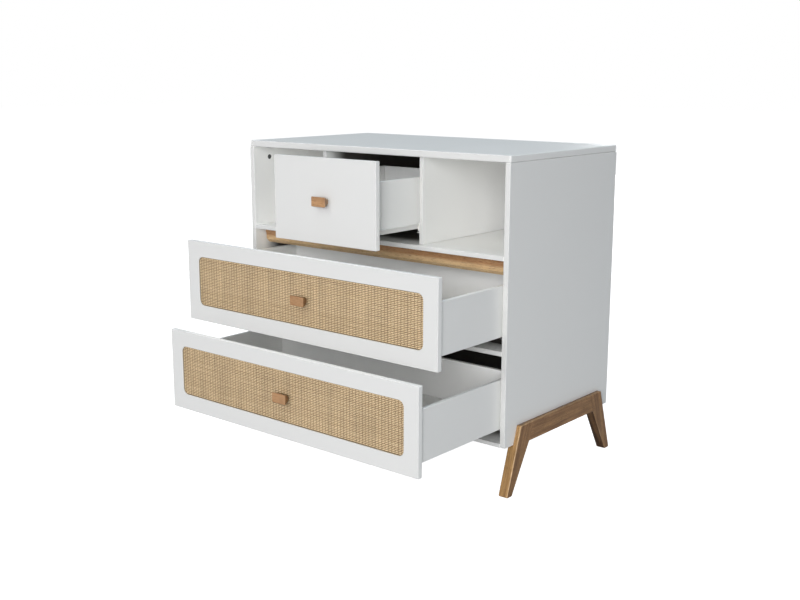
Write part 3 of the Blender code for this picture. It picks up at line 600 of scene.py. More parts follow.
def soft_loop(corners, radii, inset=0.0, steps=3):
    """A convex outline with round corners, drawn in by an inset that may differ by edge.

    A corner between edges with inward normals m and n, drawn in by p and q, moves by
    (m (p - k q) + n (q - k p)) / (1 - k k), with k = m.n. Each arc's centre is where both edges
    cross after another move by the radius, (m + n) radius / (1 + k) further, and the radius
    itself shrinks by the mean inset.
    """
    corners = np.asarray(corners, float)
    edges = np.roll(corners, -1, axis=0) - corners
    edges /= np.linalg.norm(edges, axis=1)[:, None]
    after = np.stack([-edges[:, 1], edges[:, 0]], axis=1)
    before = np.roll(after, 1, axis=0)
    inset = np.broadcast_to(inset, len(corners))[:, None]
    earlier = np.roll(inset, 1, axis=0)
    bend = (before * after).sum(axis=1)[:, None]
    spread = np.maximum(1 - bend * bend, FLAT)
    straight = 1 - bend * bend < FLAT
    first = np.where(straight, earlier / 2, (earlier - bend * inset) / spread)
    second = np.where(straight, inset / 2, (inset - bend * earlier) / spread)
    radii = np.broadcast_to(radii, len(corners))[:, None] - (inset + earlier) / 2
    radii = np.maximum(radii, LEAST_RADIUS)
    centre = corners + before * first + after * second + radii * (before + after) / (1 + bend)
    start = np.arctan2(before[:, 1], before[:, 0])
    turn = (np.arctan2(after[:, 1], after[:, 0]) - start + SLACK) % (2 * np.pi) - SLACK
    angle = start[:, None] + turn[:, None] * np.linspace(0, 1, steps + 1)
    way = np.stack([np.cos(angle), np.sin(angle)], axis=-1)
    return (centre[:, None] - radii[..., None] * way).reshape(-1, 2)


def edge_steps(edge, steps=3):
    """Insets and depths of a quarter round: inset edge (1 - sin p), depth edge (1 - cos p)."""
    turn = np.linspace(0, np.pi / 2, steps + 1)
    return edge * (1 - np.sin(turn)), edge * (1 - np.cos(turn))


def stack(loops, depths):
    """Rings of points (a, b, depth) from loops of points (a, b)."""
    depths = np.broadcast_to(np.asarray(depths)[:, None, None], (len(loops), len(loops[0]), 1))
    return np.concatenate([np.stack(loops), depths], axis=-1)


def soft_slab(corners, radii, low, high, edge, steps=3):
    """A slab between two depths: loops whose insets follow a quarter round at both faces."""
    insets, depths = edge_steps(edge, steps)
    insets = np.concatenate([insets, insets[::-1]])
    depths = np.concatenate([low + depths, high - depths[::-1]])
    return stack([soft_loop(corners, radii, inset, steps) for inset in insets], depths)


unit_square = [(0, 0), (1, 0), (1, 1), (0, 1)]
print("a unit square drawn in by 0.1 starts at", soft_loop(unit_square, 0.2, 0.1)[0])

# %% Put rings into a mesh
WELD = 0.001 * MM


def ring_faces(levels, columns, wrap=False):
    """Quads between neighbours (i, j) and (i + 1, j + 1) of rings that close on themselves."""
    rows = levels if wrap else levels - 1
    row, column = np.meshgrid(np.arange(rows), np.arange(columns), indexing="ij")
    near = row * columns
    far = (row + 1) % levels * columns
    beside = (column + 1) % columns
    quads = np.stack([near + column, near + beside, far + beside, far + column], axis=-1)
    return quads.reshape(-1, 4)


def fill_mesh(name, points, faces, marks=None, weld=False):
    """A mesh from points and faces, with its faces turned outwards. Marks are numbers kept at
    its points for its material, and a weld merges points that fall together. Every mesh is also
    marked with how far it faces the front: -2 (normal y) - 0.7, held between 0 and 1. The
    finishes paint light and shade on forward faces by this mark."""
    mesh = bpy.data.meshes.new(name)
    mesh.from_pydata(points.reshape(-1, 3).tolist(), [], faces)
    for label, values in (marks or {}).items():
        layer = mesh.attributes.new(label, "FLOAT", "POINT")
        layer.data.foreach_set("value", np.array(values, np.float32).ravel())
    shape = bmesh.new()
    shape.from_mesh(mesh)
    if weld:
        bmesh.ops.remove_doubles(shape, verts=shape.verts, dist=WELD)
    bmesh.ops.recalc_face_normals(shape, faces=shape.faces)
    shape.to_mesh(mesh)
    shape.free()
    mesh.shade_smooth()
    normals = np.empty(3 * len(mesh.vertices), np.float32)
    mesh.vertex_normals.foreach_get("vector", normals)
    facing = mesh.attributes.new("facing", "FLOAT", "POINT")
    facing.data.foreach_set("value", np.clip(-2 * normals[1::3] - 0.7, 0, 1))
    return mesh


def put(name, mesh, look, body, nodes=()):
    """Makes a piece that rides on a body, takes its look's material and hides the CAD nodes
    that it stands for.
    """
    piece = bpy.data.objects.new(name, mesh)
    bpy.context.scene.collection.objects.link(piece)
    material, slot = LOOKS[look]
    mesh.materials.append(material)
    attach(piece, body)
    if nodes:
        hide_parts(*nodes)
    return piece


def ringed_piece(name, rings, look, body, nodes=(), wrap=False, axes=(0, 1, 2), edge=None):
    """A piece from rings of points. axes says which world axis each column stands for."""
    points = np.empty_like(rings)
    points[..., list(axes)] = rings
    levels, columns = rings.shape[:2]
    faces = ring_faces(levels, columns, wrap).tolist()
    if not wrap:
        faces.append(list(range(columns))[::-1])
        faces.append(list(range((levels - 1) * columns, levels * columns)))
    edge = np.zeros((levels, columns)) if edge is None else edge
    mesh = fill_mesh(name, points, faces, {"edge": edge}, weld=True)
    piece = put(name, mesh, look, body, nodes)
    piece.modifiers.new("face_weights", "WEIGHTED_NORMAL").keep_sharp = True
    return piece


def slab_edges(rings, steps=3):
    """How far each point of a slab lies on an edge: sin of its share of the quarter rounds, and
    0 where the flat faces begin."""
    levels, columns = rings.shape[:2]
    arc = np.sin(np.pi * np.linspace(0, 1, steps + 1))
    level = np.concatenate([arc, arc])
    mark = np.maximum(level[:, None], np.tile(arc, columns // (steps + 1))[None, :])
    mark[[0, -1]] = 0
    return mark


print("a ring of 4 points and 3 levels has", len(ring_faces(3, 4)), "quads")

# %% [markdown]
# ## The lacquered boards
#
# The case is 16 mm board with a 19 mm top. Sprayed board has its edges broken with sandpaper
# before the first coat, so a sharp box would look like paper. Each board is measured from the
# frame and made again as a slab whose edges are quarter rounds. The top and the sides also
# have round corners.

# %% Make the boards


def rectangle(low, high):
    """The four corners of a rectangle, anticlockwise."""
    return [(low[0], low[1]), (high[0], low[1]), (high[0], high[1]), (low[0], high[1])]


def soft_board(name, node, body="root", look="case_lacquer", edge=1.2 * MM, corner=1.6 * MM):
    """A board that fills a node's box, thin along its shortest side."""
    low, high = box_of(node)
    thin = int(np.argmin(high - low))
    flat = [axis for axis in range(3) if axis != thin]
    rings = soft_slab(rectangle(low[flat], high[flat]), corner, low[thin], high[thin], edge)
    ringed_piece(name, rings, look, body, [node], axes=(*flat, thin), edge=slab_edges(rings))


TOP_EDGE, TOP_CORNER = 3.0 * MM, 6.0 * MM
SIDE_EDGE, SIDE_CORNER = 1.5 * MM, 5.0 * MM
soft_board("top_board", "top_panel", edge=TOP_EDGE, corner=TOP_CORNER)
for word in ("left", "right"):
    soft_board("side_board_" + word, "side_panel_" + word, edge=SIDE_EDGE, corner=SIDE_CORNER)
    soft_board("divider_board_" + word, "divider_" + word)
for name in ("bottom_panel", "mid_rail", "niche_shelf"):
    soft_board(name.split("_")[0] + "_board", name)
soft_board("back_board", "back_panel", look="white_foil", edge=0.6 * MM, corner=1.0 * MM)
soft_board("small_front_board", "small_drawer_front", "small_drawer", "front_lacquer")

# %% [markdown]
# ## The window frames of the wide drawers
#
# Each wide drawer has a frame with a round-cornered window. Behind the window's lip a rebate
# takes the cane panel. The frame is one closed ring: a profile of loops goes from the rear
# face round the outside, over the front, into the window, back under the lip and along the
# rebate to the rear face again.

# %% Make the window frames
WINDOW_RADIUS = 18 * MM
WINDOW_LIP = 3 * MM
WINDOW_EDGE = 0.8 * MM
FRAME_EDGE = 1.2 * MM
FRAME_CORNER, REBATE_CORNER = 2 * MM, 1 * MM
PANEL_LAP, FIT = 8 * MM, 0.3 * MM
WINDOW_STEPS = 8
WIDE_DRAWERS = ("lower_drawer", "upper_drawer")


def window_frame(name, node, panel, body):
    """A frame as a closed ring of loops: outside, front, window edge, lip, rebate, rear. The
    rebate clears the panel's box by a fit, and the window laps over the panel."""
    low, high = box_of(node)
    outside = rectangle(low[[0, 2]], high[[0, 2]])
    panel_low, panel_high = box_of(panel)
    rebate_low, rebate_high = panel_low[[0, 2]] - FIT, panel_high[[0, 2]] + FIT
    rebate = rectangle(rebate_low, rebate_high)
    window = rectangle(rebate_low + PANEL_LAP, rebate_high - PANEL_LAP)
    front, rear = low[1], high[1]
    insets, depths = edge_steps(FRAME_EDGE)
    rounds, dips = edge_steps(WINDOW_EDGE)
    outer = [soft_loop(outside, FRAME_CORNER, inset, WINDOW_STEPS) for inset in insets]
    inner = [soft_loop(window, WINDOW_RADIUS, -inset, WINDOW_STEPS) for inset in rounds]
    lap = soft_loop(rebate, REBATE_CORNER, 0.0, WINDOW_STEPS)
    loops = outer + outer[::-1] + inner + [inner[-1], lap, lap]
    depth = np.concatenate([
        rear - depths, front + depths[::-1], front + dips, [front + WINDOW_LIP] * 2, [rear]
    ])
    rings = stack(loops, depth)
    arc = np.sin(np.pi * np.linspace(0, 1, len(insets)))
    level = np.concatenate([arc, arc, arc, [0, 0, 0]])
    edge = np.broadcast_to(level[:, None], rings.shape[:2])
    ringed_piece(name, rings, "front_lacquer", body, [node], wrap=True, axes=(0, 2, 1), edge=edge)


for drawer in WIDE_DRAWERS:
    window_frame(drawer + "_window_frame", drawer + "_frame", drawer + "_rattan", drawer)
print("window frames made")

# %% Lay a ring of painted shade round each window
SHADE_RING_WIDTH, SHADE_RING_SLACK, SHADE_RING_FRONT, SHADE_RING_REAR = 1.4 * MM, 0.1 * MM, 2.2 * MM, 3.6 * MM


def window_shade_ring(drawer):
    """The dark line round the cane: a flat ring of painted shade in the corner between the lip
    and the weave.
    """
    panel_low, panel_high = box_of(drawer + "_rattan")
    reach = PANEL_LAP - FIT
    window = rectangle(panel_low[[0, 2]] + reach, panel_high[[0, 2]] - reach)
    front = box_of(drawer + "_frame")[0][1]
    outer, inner = [soft_loop(window, WINDOW_RADIUS, inset, WINDOW_STEPS)
                    for inset in (SHADE_RING_SLACK, SHADE_RING_WIDTH)]
    near, far = front + SHADE_RING_FRONT, front + SHADE_RING_REAR
    rings = stack([outer, inner, inner, outer], [near, near, far, far])
    ringed_piece(drawer + "_cane_shade_ring", rings, "cane_shade_ring", drawer, [drawer + "_rattan"],
                 wrap=True, axes=(0, 2, 1))


for drawer in WIDE_DRAWERS:
    window_shade_ring(drawer)
print("shade rings laid")

# %% [markdown]
# ## The woven cane
#
# The panels are woven cane on a board. Flat wefts run from side to side and pass over and
# under pairs of thin warps. A bump map would make the same pattern on a flat sheet, but the
# weave is what the eye goes to first, so every strand is a strip of its own that really dips
# under its neighbours. Each strand has its own tone and width and a slight wander, all from one
# seeded generator.

# %% The weave's measures
ROW_PITCH, COLUMN_PITCH = 4.6 * MM, 11.1 * MM
PAIR_SPREAD = 0.4 * MM
WEFT_WIDTH, WEFT_THICK, WEFT_DIP = 3.55 * MM, 0.7 * MM, 0.22 * MM
WARP_WIDTH, WARP_THICK, WARP_SWING = 1.9 * MM, 0.55 * MM, 0.72 * MM
WEAVE_MIDDLE, WARP_SHIFT, WEAVE_DEPTH = 0.87 * MM, 0.15 * MM, 2.1 * MM
WEFT_STEPS, WARP_STEPS = 6, 4
WEFT_WANDER, WARP_WANDER, WAVES = 0.30 * MM, 0.22 * MM, (60 * MM, 300 * MM)
DIP_SPREAD, WEFT_SPREAD, WARP_SPREAD = (0.7, 1.3), (0.92, 1.04), (0.85, 1.1)
SHEET_CORNER, SHEET_EDGE, WEAVE_SEED = 1 * MM, 0.5 * MM, 11


def swing(phase):
    """A wave that stays long at its crests: tanh(2 cos p) / tanh 2."""
    return np.tanh(2 * np.cos(phase)) / np.tanh(2)


def strip_section():
    """A flat strip with a crown: three points over the front and two behind, across and out."""
    across = np.array([-0.5, -0.27, 0.27, 0.5, 0.0])
    out = np.array([-0.1, 0.5, 0.5, -0.1, -0.5])
    return across, out


def strand_mesh(name, along, centre, lift, width, thick, tone, upright):
    """Strips from arrays (strand, step): place along, centre line across, depth in the panel.

    A point is (along, depth - out, centre + across) for a weft, and the first and last are
    exchanged for an upright warp.
    """
    across, out = strip_section()
    strands, steps = centre.shape
    side = centre[..., None] + across * width[:, None, None]
    depth = lift[..., None] - out * thick
    run = np.broadcast_to(along[None, :, None], side.shape)
    order = (side, depth, run) if upright else (run, depth, side)
    points = np.stack(order, axis=-1)
    ring = len(across)
    base = np.arange(strands)[:, None, None] * steps * ring
    quads = (ring_faces(steps, ring)[None] + base).reshape(-1, 4).tolist()
    first = np.arange(ring)[None, ::-1] + base[:, 0]
    last = np.arange(ring)[None] + base[:, 0] + (steps - 1) * ring
    tones = np.broadcast_to(tone[:, None, None], side.shape)
    mesh = fill_mesh(name, points, quads + first.tolist() + last.tolist(), {"tone": tones})
    share = np.broadcast_to(across + 0.5, side.shape)
    spread = np.stack([run, share], axis=-1).reshape(-1, 2)
    corner = np.empty(len(mesh.loops), int)
    mesh.loops.foreach_get("vertex_index", corner)
    mesh.uv_layers.new(name="strand").data.foreach_set("uv", spread[corner].astype(np.float32).ravel())
    return mesh


print("rows of", ROW_PITCH / MM, "mm, columns of", COLUMN_PITCH / MM, "mm")

# %% Weave the panels


def wander(rng, strands, along, size):
    """A slow drift sideways: three sines of random phase and a wavelength of 60 to 300 mm."""
    wave = rng.uniform(*WAVES, (strands, 3, 1))
    phase = rng.uniform(0, 2 * np.pi, (strands, 3, 1))
    return size * np.sin(2 * np.pi * along / wave + phase).mean(axis=1)


def spaced(low, high, pitch):
    """The middles of as many equal steps as fit between two ends."""
    count = int((high - low) / pitch)
    return low + (high - low) * (np.arange(count) + 0.5) / count


def weave_wefts(drawer, rng, low, high, rows, columns):
    """Flat wefts that dip where a pair crosses them: depth = middle + dip cos(2 pi x / pitch)."""
    along = np.linspace(low[0], high[0], len(columns) * WEFT_STEPS + 1)
    turn = 2 * np.pi * (along - columns[0]) / (columns[1] - columns[0])
    dips = WEFT_DIP * rng.uniform(*DIP_SPREAD, len(rows))[:, None] * np.cos(turn)
    centre = rows[:, None] + wander(rng, len(rows), along, WEFT_WANDER)
    width = WEFT_WIDTH * rng.uniform(*WEFT_SPREAD, len(rows))
    tone = 0.15 + 0.6 * rng.beta(2.0, 3.0, len(rows))
    lift = low[1] + WEAVE_MIDDLE + dips
    mesh = strand_mesh(drawer + "_weft", along, centre, lift, width, WEFT_THICK, tone, False)
    put(drawer + "_cane_wefts", mesh, "cane_weft", drawer, [drawer + "_rattan"])


def weave_warps(drawer, rng, low, high, rows, columns):
    """Pairs of warps that change places in every row, so that one of each pair is in front.

    The left and right strands of the pairs are two pieces, to keep each a moderate size.
    """
    along = np.linspace(low[2], high[2], len(rows) * WARP_STEPS + 1)
    strand = np.arange(2 * len(columns))
    pair, hand = strand // 2, strand % 2 * 2 - 1
    turn = np.pi * (along - rows[0]) / (rows[1] - rows[0])
    lift = low[1] + WEAVE_MIDDLE + WARP_SHIFT + WARP_SWING * hand[:, None] * swing(turn)
    drift = wander(rng, len(columns), along, 2 * WARP_WANDER)[pair]
    centre = (columns[pair] + PAIR_SPREAD * hand)[:, None] + drift
    centre = centre + wander(rng, len(strand), along, WARP_WANDER)
    width = WARP_WIDTH * rng.uniform(*WARP_SPREAD, len(strand))
    tone = 0.6 * rng.beta(2.0, 2.0, len(strand)) + 0.4 * (pair % 2)
    for first, end in enumerate(("left", "right")):
        half = slice(first, None, 2)
        mesh = strand_mesh(f"{drawer}_warp_{end}", along, centre[half], lift[half], width[half],
                           WARP_THICK, tone[half], True)
        put(f"{drawer}_cane_warps_{end}", mesh, "cane_warp", drawer, [drawer + "_rattan"])


def weave_panel(drawer, rng):
    """The cane of one drawer: wefts, warps and the board behind them."""
    low, high = box_of(drawer + "_rattan")
    rows, columns = spaced(low[2], high[2], ROW_PITCH), spaced(low[0], high[0], COLUMN_PITCH)
    weave_wefts(drawer, rng, low, high, rows, columns)
    weave_warps(drawer, rng, low, high, rows, columns)
    sheet = rectangle(low[[0, 2]], high[[0, 2]])
    rings = soft_slab(sheet, SHEET_CORNER, low[1] + WEAVE_DEPTH, high[1], SHEET_EDGE)
    ringed_piece(drawer + "_cane_board", rings, "cane_shaded_backing", drawer, [drawer + "_rattan"],
                 axes=(0, 2, 1), edge=slab_edges(rings))
    return len(rows), 2 * len(columns)


rng = np.random.default_rng(WEAVE_SEED)
for drawer in WIDE_DRAWERS:
    print(drawer, "wefts and warps", weave_panel(drawer, rng))

# %% [markdown]
# ## The oak leg frames
#
# Each side stands on a frame: two raked legs lapped outside the side panel and a rail between
# them. A leg seen from the side is a five-cornered outline. Above the underside of the case
# only the outer part of its thickness goes on, so the stack of loops steps out at the
# shoulder. The visible edges are broad quarter rounds, but the edges that meet the rail are
# nearly sharp, which is why an outline may be drawn in by a different inset at each edge.

# %% The outlines of the leg frames
LEG_SHAPE = {"top_setback": 60.5 * MM, "top_width": 63 * MM, "knee_setback": 104.5 * MM,
             "foot_width": 25 * MM, "foot_overhang": 2.5 * MM}
OAK_EDGE, OAK_STEPS, JOINT_SHARE, SHOULDER_SHARE = 2.4 * MM, 4, 0.15, 0.1
FOOT_RADIUS, LEG_RADIUS, JOINT_RADIUS = 4.0 * MM, 3.0 * MM, 0.4 * MM
JOINT_GAP = 0.3 * MM


def leg_outline(top):
    """Five corners (out, z) of a leg: out is how far from the middle of the case in depth."""
    shape = LEG_SHAPE
    head = CASE_REACH - shape["top_setback"]
    foot = CASE_REACH + shape["foot_overhang"]
    knee = CASE_REACH - shape["knee_setback"]
    return [(head, top), (head - shape["top_width"], top), (knee, CASE_LOW),
            (foot - shape["foot_width"], 0.0), (foot, 0.0)]


def cut_outline(corners, level):
    """The same leg cut off level below its shoulder, still with five corners for the stack."""
    (head, top), _, knee, inner, foot = corners
    outer = foot[0] + (head - foot[0]) * level / top
    near = inner[0] + (knee[0] - inner[0]) * level / knee[1]
    return [(outer, level), ((outer + near) / 2, level), (near, level), inner, foot]


def leg_rings(corners, level, across):
    """A leg's loops from its inner face to its outer one, with the step at the shoulder.

    The quarter rounds at both faces are the loops' insets. The shares say how much of the
    inset each edge takes: the edge against the rail and the cut at the shoulder take little.
    """
    insets, depths = edge_steps(OAK_EDGE, OAK_STEPS)
    whole_share = np.array([1, JOINT_SHARE, 1, 1, 1])
    cut_share = np.array([SHOULDER_SHARE, SHOULDER_SHARE, 1, 1, 1])
    whole_radii = (LEG_RADIUS, JOINT_RADIUS, JOINT_RADIUS, FOOT_RADIUS, FOOT_RADIUS)
    cut_radii = (JOINT_RADIUS, JOINT_RADIUS, JOINT_RADIUS, FOOT_RADIUS, FOOT_RADIUS)
    inner, shoulder, outer = across
    cut = cut_outline(corners, level)
    loops = [soft_loop(cut, cut_radii, inset * cut_share, OAK_STEPS) for inset in [*insets, 0.0]]
    loops += [soft_loop(corners, whole_radii, inset * whole_share, OAK_STEPS)
              for inset in [0.0, *insets[::-1]]]
    places = [*(inner + depths), shoulder, shoulder, *(outer - depths[::-1])]
    return stack(loops, places)


def outer_edges(rings, steps=OAK_STEPS):
    """The edge mark of a leg or rail: sin over the last quarter round, 0 before it."""
    level = np.zeros(len(rings))
    level[-steps - 1:] = np.sin(np.pi * np.linspace(0, 1, steps + 1))
    return np.broadcast_to(level[:, None], rings.shape[:2])


print("leg corners in mm", np.round(np.array(leg_outline(0.196)) / MM, 1).tolist())

# %% Make the legs and rails


def placed_rings(rings, side, end):
    """Turns rings of (out, z, across) into (y, z, x) for one side and end of the case."""
    return rings * (end, 1, side) + (CASE_MIDDLE, 0, 0)


def make_leg(side, side_word, end, end_word):
    """One leg from its node's box: 1 is right and rear, -1 left and front."""
    node = "leg_" + end_word + "_" + side_word
    low, high = box_of(node)
    near, far = sorted(np.abs([low[0], high[0]]))
    across = (near, OUTER_HALF + JOINT_GAP, far)
    rings = leg_rings(leg_outline(high[2]), CASE_LOW - JOINT_GAP, across)
    look = "oak_" + end_word + "_leg"
    ringed_piece("oak_" + node, placed_rings(rings, side, end), look, "root", [node],
                 axes=(1, 2, 0), edge=outer_edges(rings))


def make_leg_rail(side, side_word):
    """The rail between two legs: four corners, round along its long edges."""
    node = "leg_rail_" + side_word
    low, high = box_of(node)
    near, far = sorted(np.abs([low[0], high[0]]))
    head = CASE_REACH - LEG_SHAPE["top_setback"] - LEG_SHAPE["top_width"] - JOINT_GAP
    knee = CASE_REACH - LEG_SHAPE["knee_setback"] - JOINT_GAP
    corners = [(-head, high[2]), (-knee, low[2]), (knee, low[2]), (head, high[2])]
    insets, depths = edge_steps(OAK_EDGE, OAK_STEPS)
    shares = np.array([JOINT_SHARE, 1, JOINT_SHARE, 1])
    loops = [soft_loop(corners, JOINT_RADIUS, inset * shares, OAK_STEPS)
             for inset in [0.0, *insets[::-1]]]
    rings = stack(loops, [near, *(far - depths[::-1])])
    ringed_piece("oak_" + node, placed_rings(rings, side, 1), "oak_rail", "root", [node],
                 axes=(1, 2, 0), edge=outer_edges(rings))


SIDES, ENDS = ((-1, "left"), (1, "right")), ((-1, "front"), (1, "rear"))
for side, side_word in SIDES:
    for end, end_word in ENDS:
        make_leg(side, side_word, end, end_word)
    make_leg_rail(side, side_word)

# %% [markdown]
# ## The oak strip under the shelf
#
# A finger pull runs under the niche shelf: a strip whose face leans back and whose nose turns
# under. Its outline is known from the node's box and five small measures, and it is carried
# straight across the case.

# %% Make the strip
STRIP_LEAN, STRIP_NOSE, STRIP_FACE = 5.5 * MM, 11 * MM, 38.5 * MM
STRIP_EDGE, NOSE_RADIUS, STRIP_RADIUS = 0.8 * MM, 4.0 * MM, 1.0 * MM

low, high = box_of("accent_strip")
strip_corners = [
    (low[1], high[2]), (low[1] + STRIP_LEAN, high[2] - STRIP_FACE),
    (low[1] + STRIP_LEAN + STRIP_NOSE, low[2]), (high[1], low[2]), (high[1], high[2]),
]
strip_radii = (STRIP_RADIUS, NOSE_RADIUS, NOSE_RADIUS, STRIP_RADIUS, STRIP_RADIUS)
rings = soft_slab(strip_corners, strip_radii, low[0], high[0], STRIP_EDGE, OAK_STEPS)
ringed_piece("oak_finger_strip", rings, "oak_strip", "root", ["accent_strip"], axes=(1, 2, 0),
             edge=slab_edges(rings, OAK_STEPS))
print("strip across", round((high[0] - low[0]) / MM), "mm")

# %% [markdown]
# ## The knobs
#
# A knob is a wedge of oak that flares from a small foot to a wide face, with all its edges
# rounded by a router bit. Its loops grow in a straight line from foot to face, and the last
# ones follow a quarter round. Two knobs stand on cane and one on the small front.

# %% Make the knobs
KNOB_FOOT_SHARE = np.array([38 / 56, 16 / 31])
KNOB_EDGE, KNOB_RADIUS, KNOB_STEPS, RIM_RISE = 2.5 * MM, 3.0 * MM, 4, 3


def make_knob(drawer):
    """Loops from foot to face: half size = face half size x mix(foot share, 1, place)."""
    low, high = box_of(drawer + "_knob")
    face = (high[[0, 2]] - low[[0, 2]]) / 2
    centre = (high[[0, 2]] + low[[0, 2]]) / 2
    insets, depths = edge_steps(KNOB_EDGE, KNOB_STEPS)
    places = np.concatenate([[high[1]], low[1] + depths[::-1]])
    share = (high[1] - places) / (high[1] - low[1])
    loops = [
        soft_loop(rectangle(centre - half, centre + half), KNOB_RADIUS, inset, KNOB_STEPS)
        for half, inset in zip(face * (KNOB_FOOT_SHARE + (1 - KNOB_FOOT_SHARE) * share[:, None]),
                               [0.0, *insets[::-1]])
    ]
    rim = np.minimum(1, RIM_RISE * np.abs(share - share[1]))
    edge = np.broadcast_to(rim[:, None], (len(places), len(loops[0])))
    ringed_piece(drawer + "_oak_knob", stack(loops, places), "oak_knob", drawer,
                 [drawer + "_knob"], axes=(0, 2, 1), edge=edge)


for drawer in (*WIDE_DRAWERS, "small_drawer"):
    make_knob(drawer)
print("knobs made")

# %% [markdown]
# ## Turned parts: rollers, cam locks and screws
#
# The small drawer runs on four nylon rollers. A roller is a closed profile carried round its
# pin. The heads of the cam locks and screws are discs with a cross sunk into them: a height
# over a polar grid. Screws of one kind share one mesh.

# %% Make the rollers
ROLLER_HALF, ROLLER_BORE, ROLLER_STEPS = 3.0 * MM, 2.3 * MM, 40
ROLLERS = {"case_roller_left": "left_case_roller", "case_roller_right": "right_case_roller",
           "drawer_roller_left": "left_drawer_roller", "drawer_roller_right": "right_drawer_roller"}


def roller_profile(bore, radius):
    """The section of a roller, as radii and places along its pin: hub, web, tyre and back."""
    hub, web = bore + 2.4 * MM, radius - 2.6 * MM
    half = np.array([(bore, 3.0), (hub, 3.0), (hub + 0.4 * MM, 2.0), (web, 2.0), (web + 0.5 * MM, 3.0),
                     (radius - 0.8 * MM, 3.0), (radius - 0.15 * MM, 2.5), (radius, 1.6)])
    half[:, 1] *= ROLLER_HALF / half[0, 1]
    return np.concatenate([half * (1, -1), half[::-1]])


def turned(profile, steps):
    """Rings (a, b, depth) round an axis: radius x (cos t, sin t) at each place of the profile."""
    angle = 2 * np.pi * np.arange(steps) / steps
    circle = np.stack([np.cos(angle), np.sin(angle)], axis=-1)
    return stack(list(profile[:, 0, None, None] * circle), profile[:, 1])


for node, body in ROLLERS.items():
    low, high = box_of(node)
    centre = (low + high) / 2
    rings = turned(roller_profile(ROLLER_BORE, (high[2] - low[2]) / 2), ROLLER_STEPS)
    rings = rings + (centre[1], centre[2], centre[0])
    ringed_piece("nylon_" + node, rings, "white_nylon", body, [node], wrap=True, axes=(1, 2, 0))
print("rollers", len(ROLLERS))

# %% Make the heads of locks and screws
HEAD_RINGS, HEAD_STEPS = 12, 48


def head_grid(radius, crown, cross):
    """A head as a height over a polar grid, closed by its rim.

    The height is crown x (1 - (r / R)^2), less the cross: its depth where either |x| or |y| is
    below half its width and the radius is below its reach. Returns (x, y, height).
    """
    reach, width, depth = cross
    r = radius * np.linspace(0.02, 1, HEAD_RINGS)[:, None]
    angle = 2 * np.pi * np.arange(HEAD_STEPS)[None] / HEAD_STEPS
    x, y = r * np.cos(angle), r * np.sin(angle)
    arm = (np.minimum(np.abs(x), np.abs(y)) < width / 2) & (r < reach)
    height = crown * (1 - (r / radius) ** 2) - depth * arm
    rim = np.stack([x[-1], y[-1], np.full(HEAD_STEPS, -crown)], axis=-1)
    return np.concatenate([np.stack([x, y, height], axis=-1), rim[None]])


def heads_mesh(name, grid, places, axes, out):
    """Many equal heads in one mesh: the grid's height grows along an axis, times out."""
    levels, columns = grid.shape[:2]
    points = np.empty((len(places), levels, columns, 3))
    points[..., axes[0]] = grid[..., 0]
    points[..., axes[1]] = grid[..., 1]
    points[..., axes[2]] = grid[..., 2] * out
    points += np.asarray(places)[:, None, None]
    base = np.arange(len(places))[:, None, None] * levels * columns
    quads = (ring_faces(levels, columns)[None] + base).reshape(-1, 4).tolist()
    top = (np.arange(columns)[None, ::-1] + base[:, 0]).tolist()
    last = (np.arange(columns)[None] + base[:, 0] + (levels - 1) * columns).tolist()
    return fill_mesh(name, points, quads + top + last)


LOCK_RADIUS, LOCK_PROUD, LOCK_SETBACK, LOCK_DROP = 7.5 * MM, 0.5 * MM, 68 * MM, 36 * MM
LOCK_CROWN, LOCK_CROSS = 0.15 * MM, (4.2 * MM, 1.5 * MM, 0.35 * MM)
lock_grid = head_grid(LOCK_RADIUS, LOCK_CROWN, LOCK_CROSS)
for side, word in SIDES:
    wall = side * (INNER_HALF - LOCK_PROUD)
    for end, end_word in ENDS:
        along = CASE_MIDDLE + end * (CASE_REACH - LOCK_SETBACK)
        place = [(wall, along, CASE_HIGH - LOCK_DROP)]
        mesh = heads_mesh("cam_lock", lock_grid, place, (1, 2, 0), -side)
        nodes = ["cam_lock_" + word] if end_word == "front" else []
        put("cam_lock_" + end_word + "_" + word, mesh, "dark_zinc", "root", nodes)

# %% Screw the back board on
SCREW_RADIUS, SCREW_CROWN = 3.6 * MM, 0.8 * MM
SCREW_CROSS = (2.3 * MM, 0.9 * MM, 0.6 * MM)
SCREW_REACH, SCREWS_IN_ROW, POST_DROPS = 440 * MM, 5, (180 * MM, 50 * MM)
rows = [np.mean(box_of(node), axis=0)[2] for node in ("bottom_panel", "niche_shelf")]
row_places = np.linspace(-SCREW_REACH, SCREW_REACH, SCREWS_IN_ROW)
screws = [(x, back_high[1], z) for z in rows for x in row_places]
post = (divider_low[0] + divider_high[0]) / 2
screws += [(x, back_high[1], CASE_HIGH - drop) for x in (-post, post) for drop in POST_DROPS]
grid = head_grid(SCREW_RADIUS, SCREW_CROWN, SCREW_CROSS)
put("back_board_screws", heads_mesh("back_screws", grid, screws, (0, 2, 1), 1), "zinc_steel", "root")
print("screws in the back", len(screws))

# %% [markdown]
# ## Dress the nodes that stay
#
# Drawer boxes, runners and knob screws are right as they are in the frame. Each gets the
# finish of its slot: the boards the lacquer, the bent sheet its plating.

# %% Give every kept node its finish
NODE_LOOKS = {
    "lacquer": "box_lacquer", "hardboard": "white_foil", "oak": "oak_strip",
    "cane": "cane_shaded_backing", "zinc_steel": "zinc_steel", "dark_zinc": "dark_zinc",
    "white_epoxy": "white_epoxy", "nylon": "white_nylon",
}
for subpart in frame["record"]["subparts"]:
    node = frame["nodes"][subpart["node"]]
    node.data.materials.clear()
    node.data.materials.append(LOOKS[NODE_LOOKS[subpart["material_slot"]]][0])
print("nodes dressed", len(frame["nodes"]))

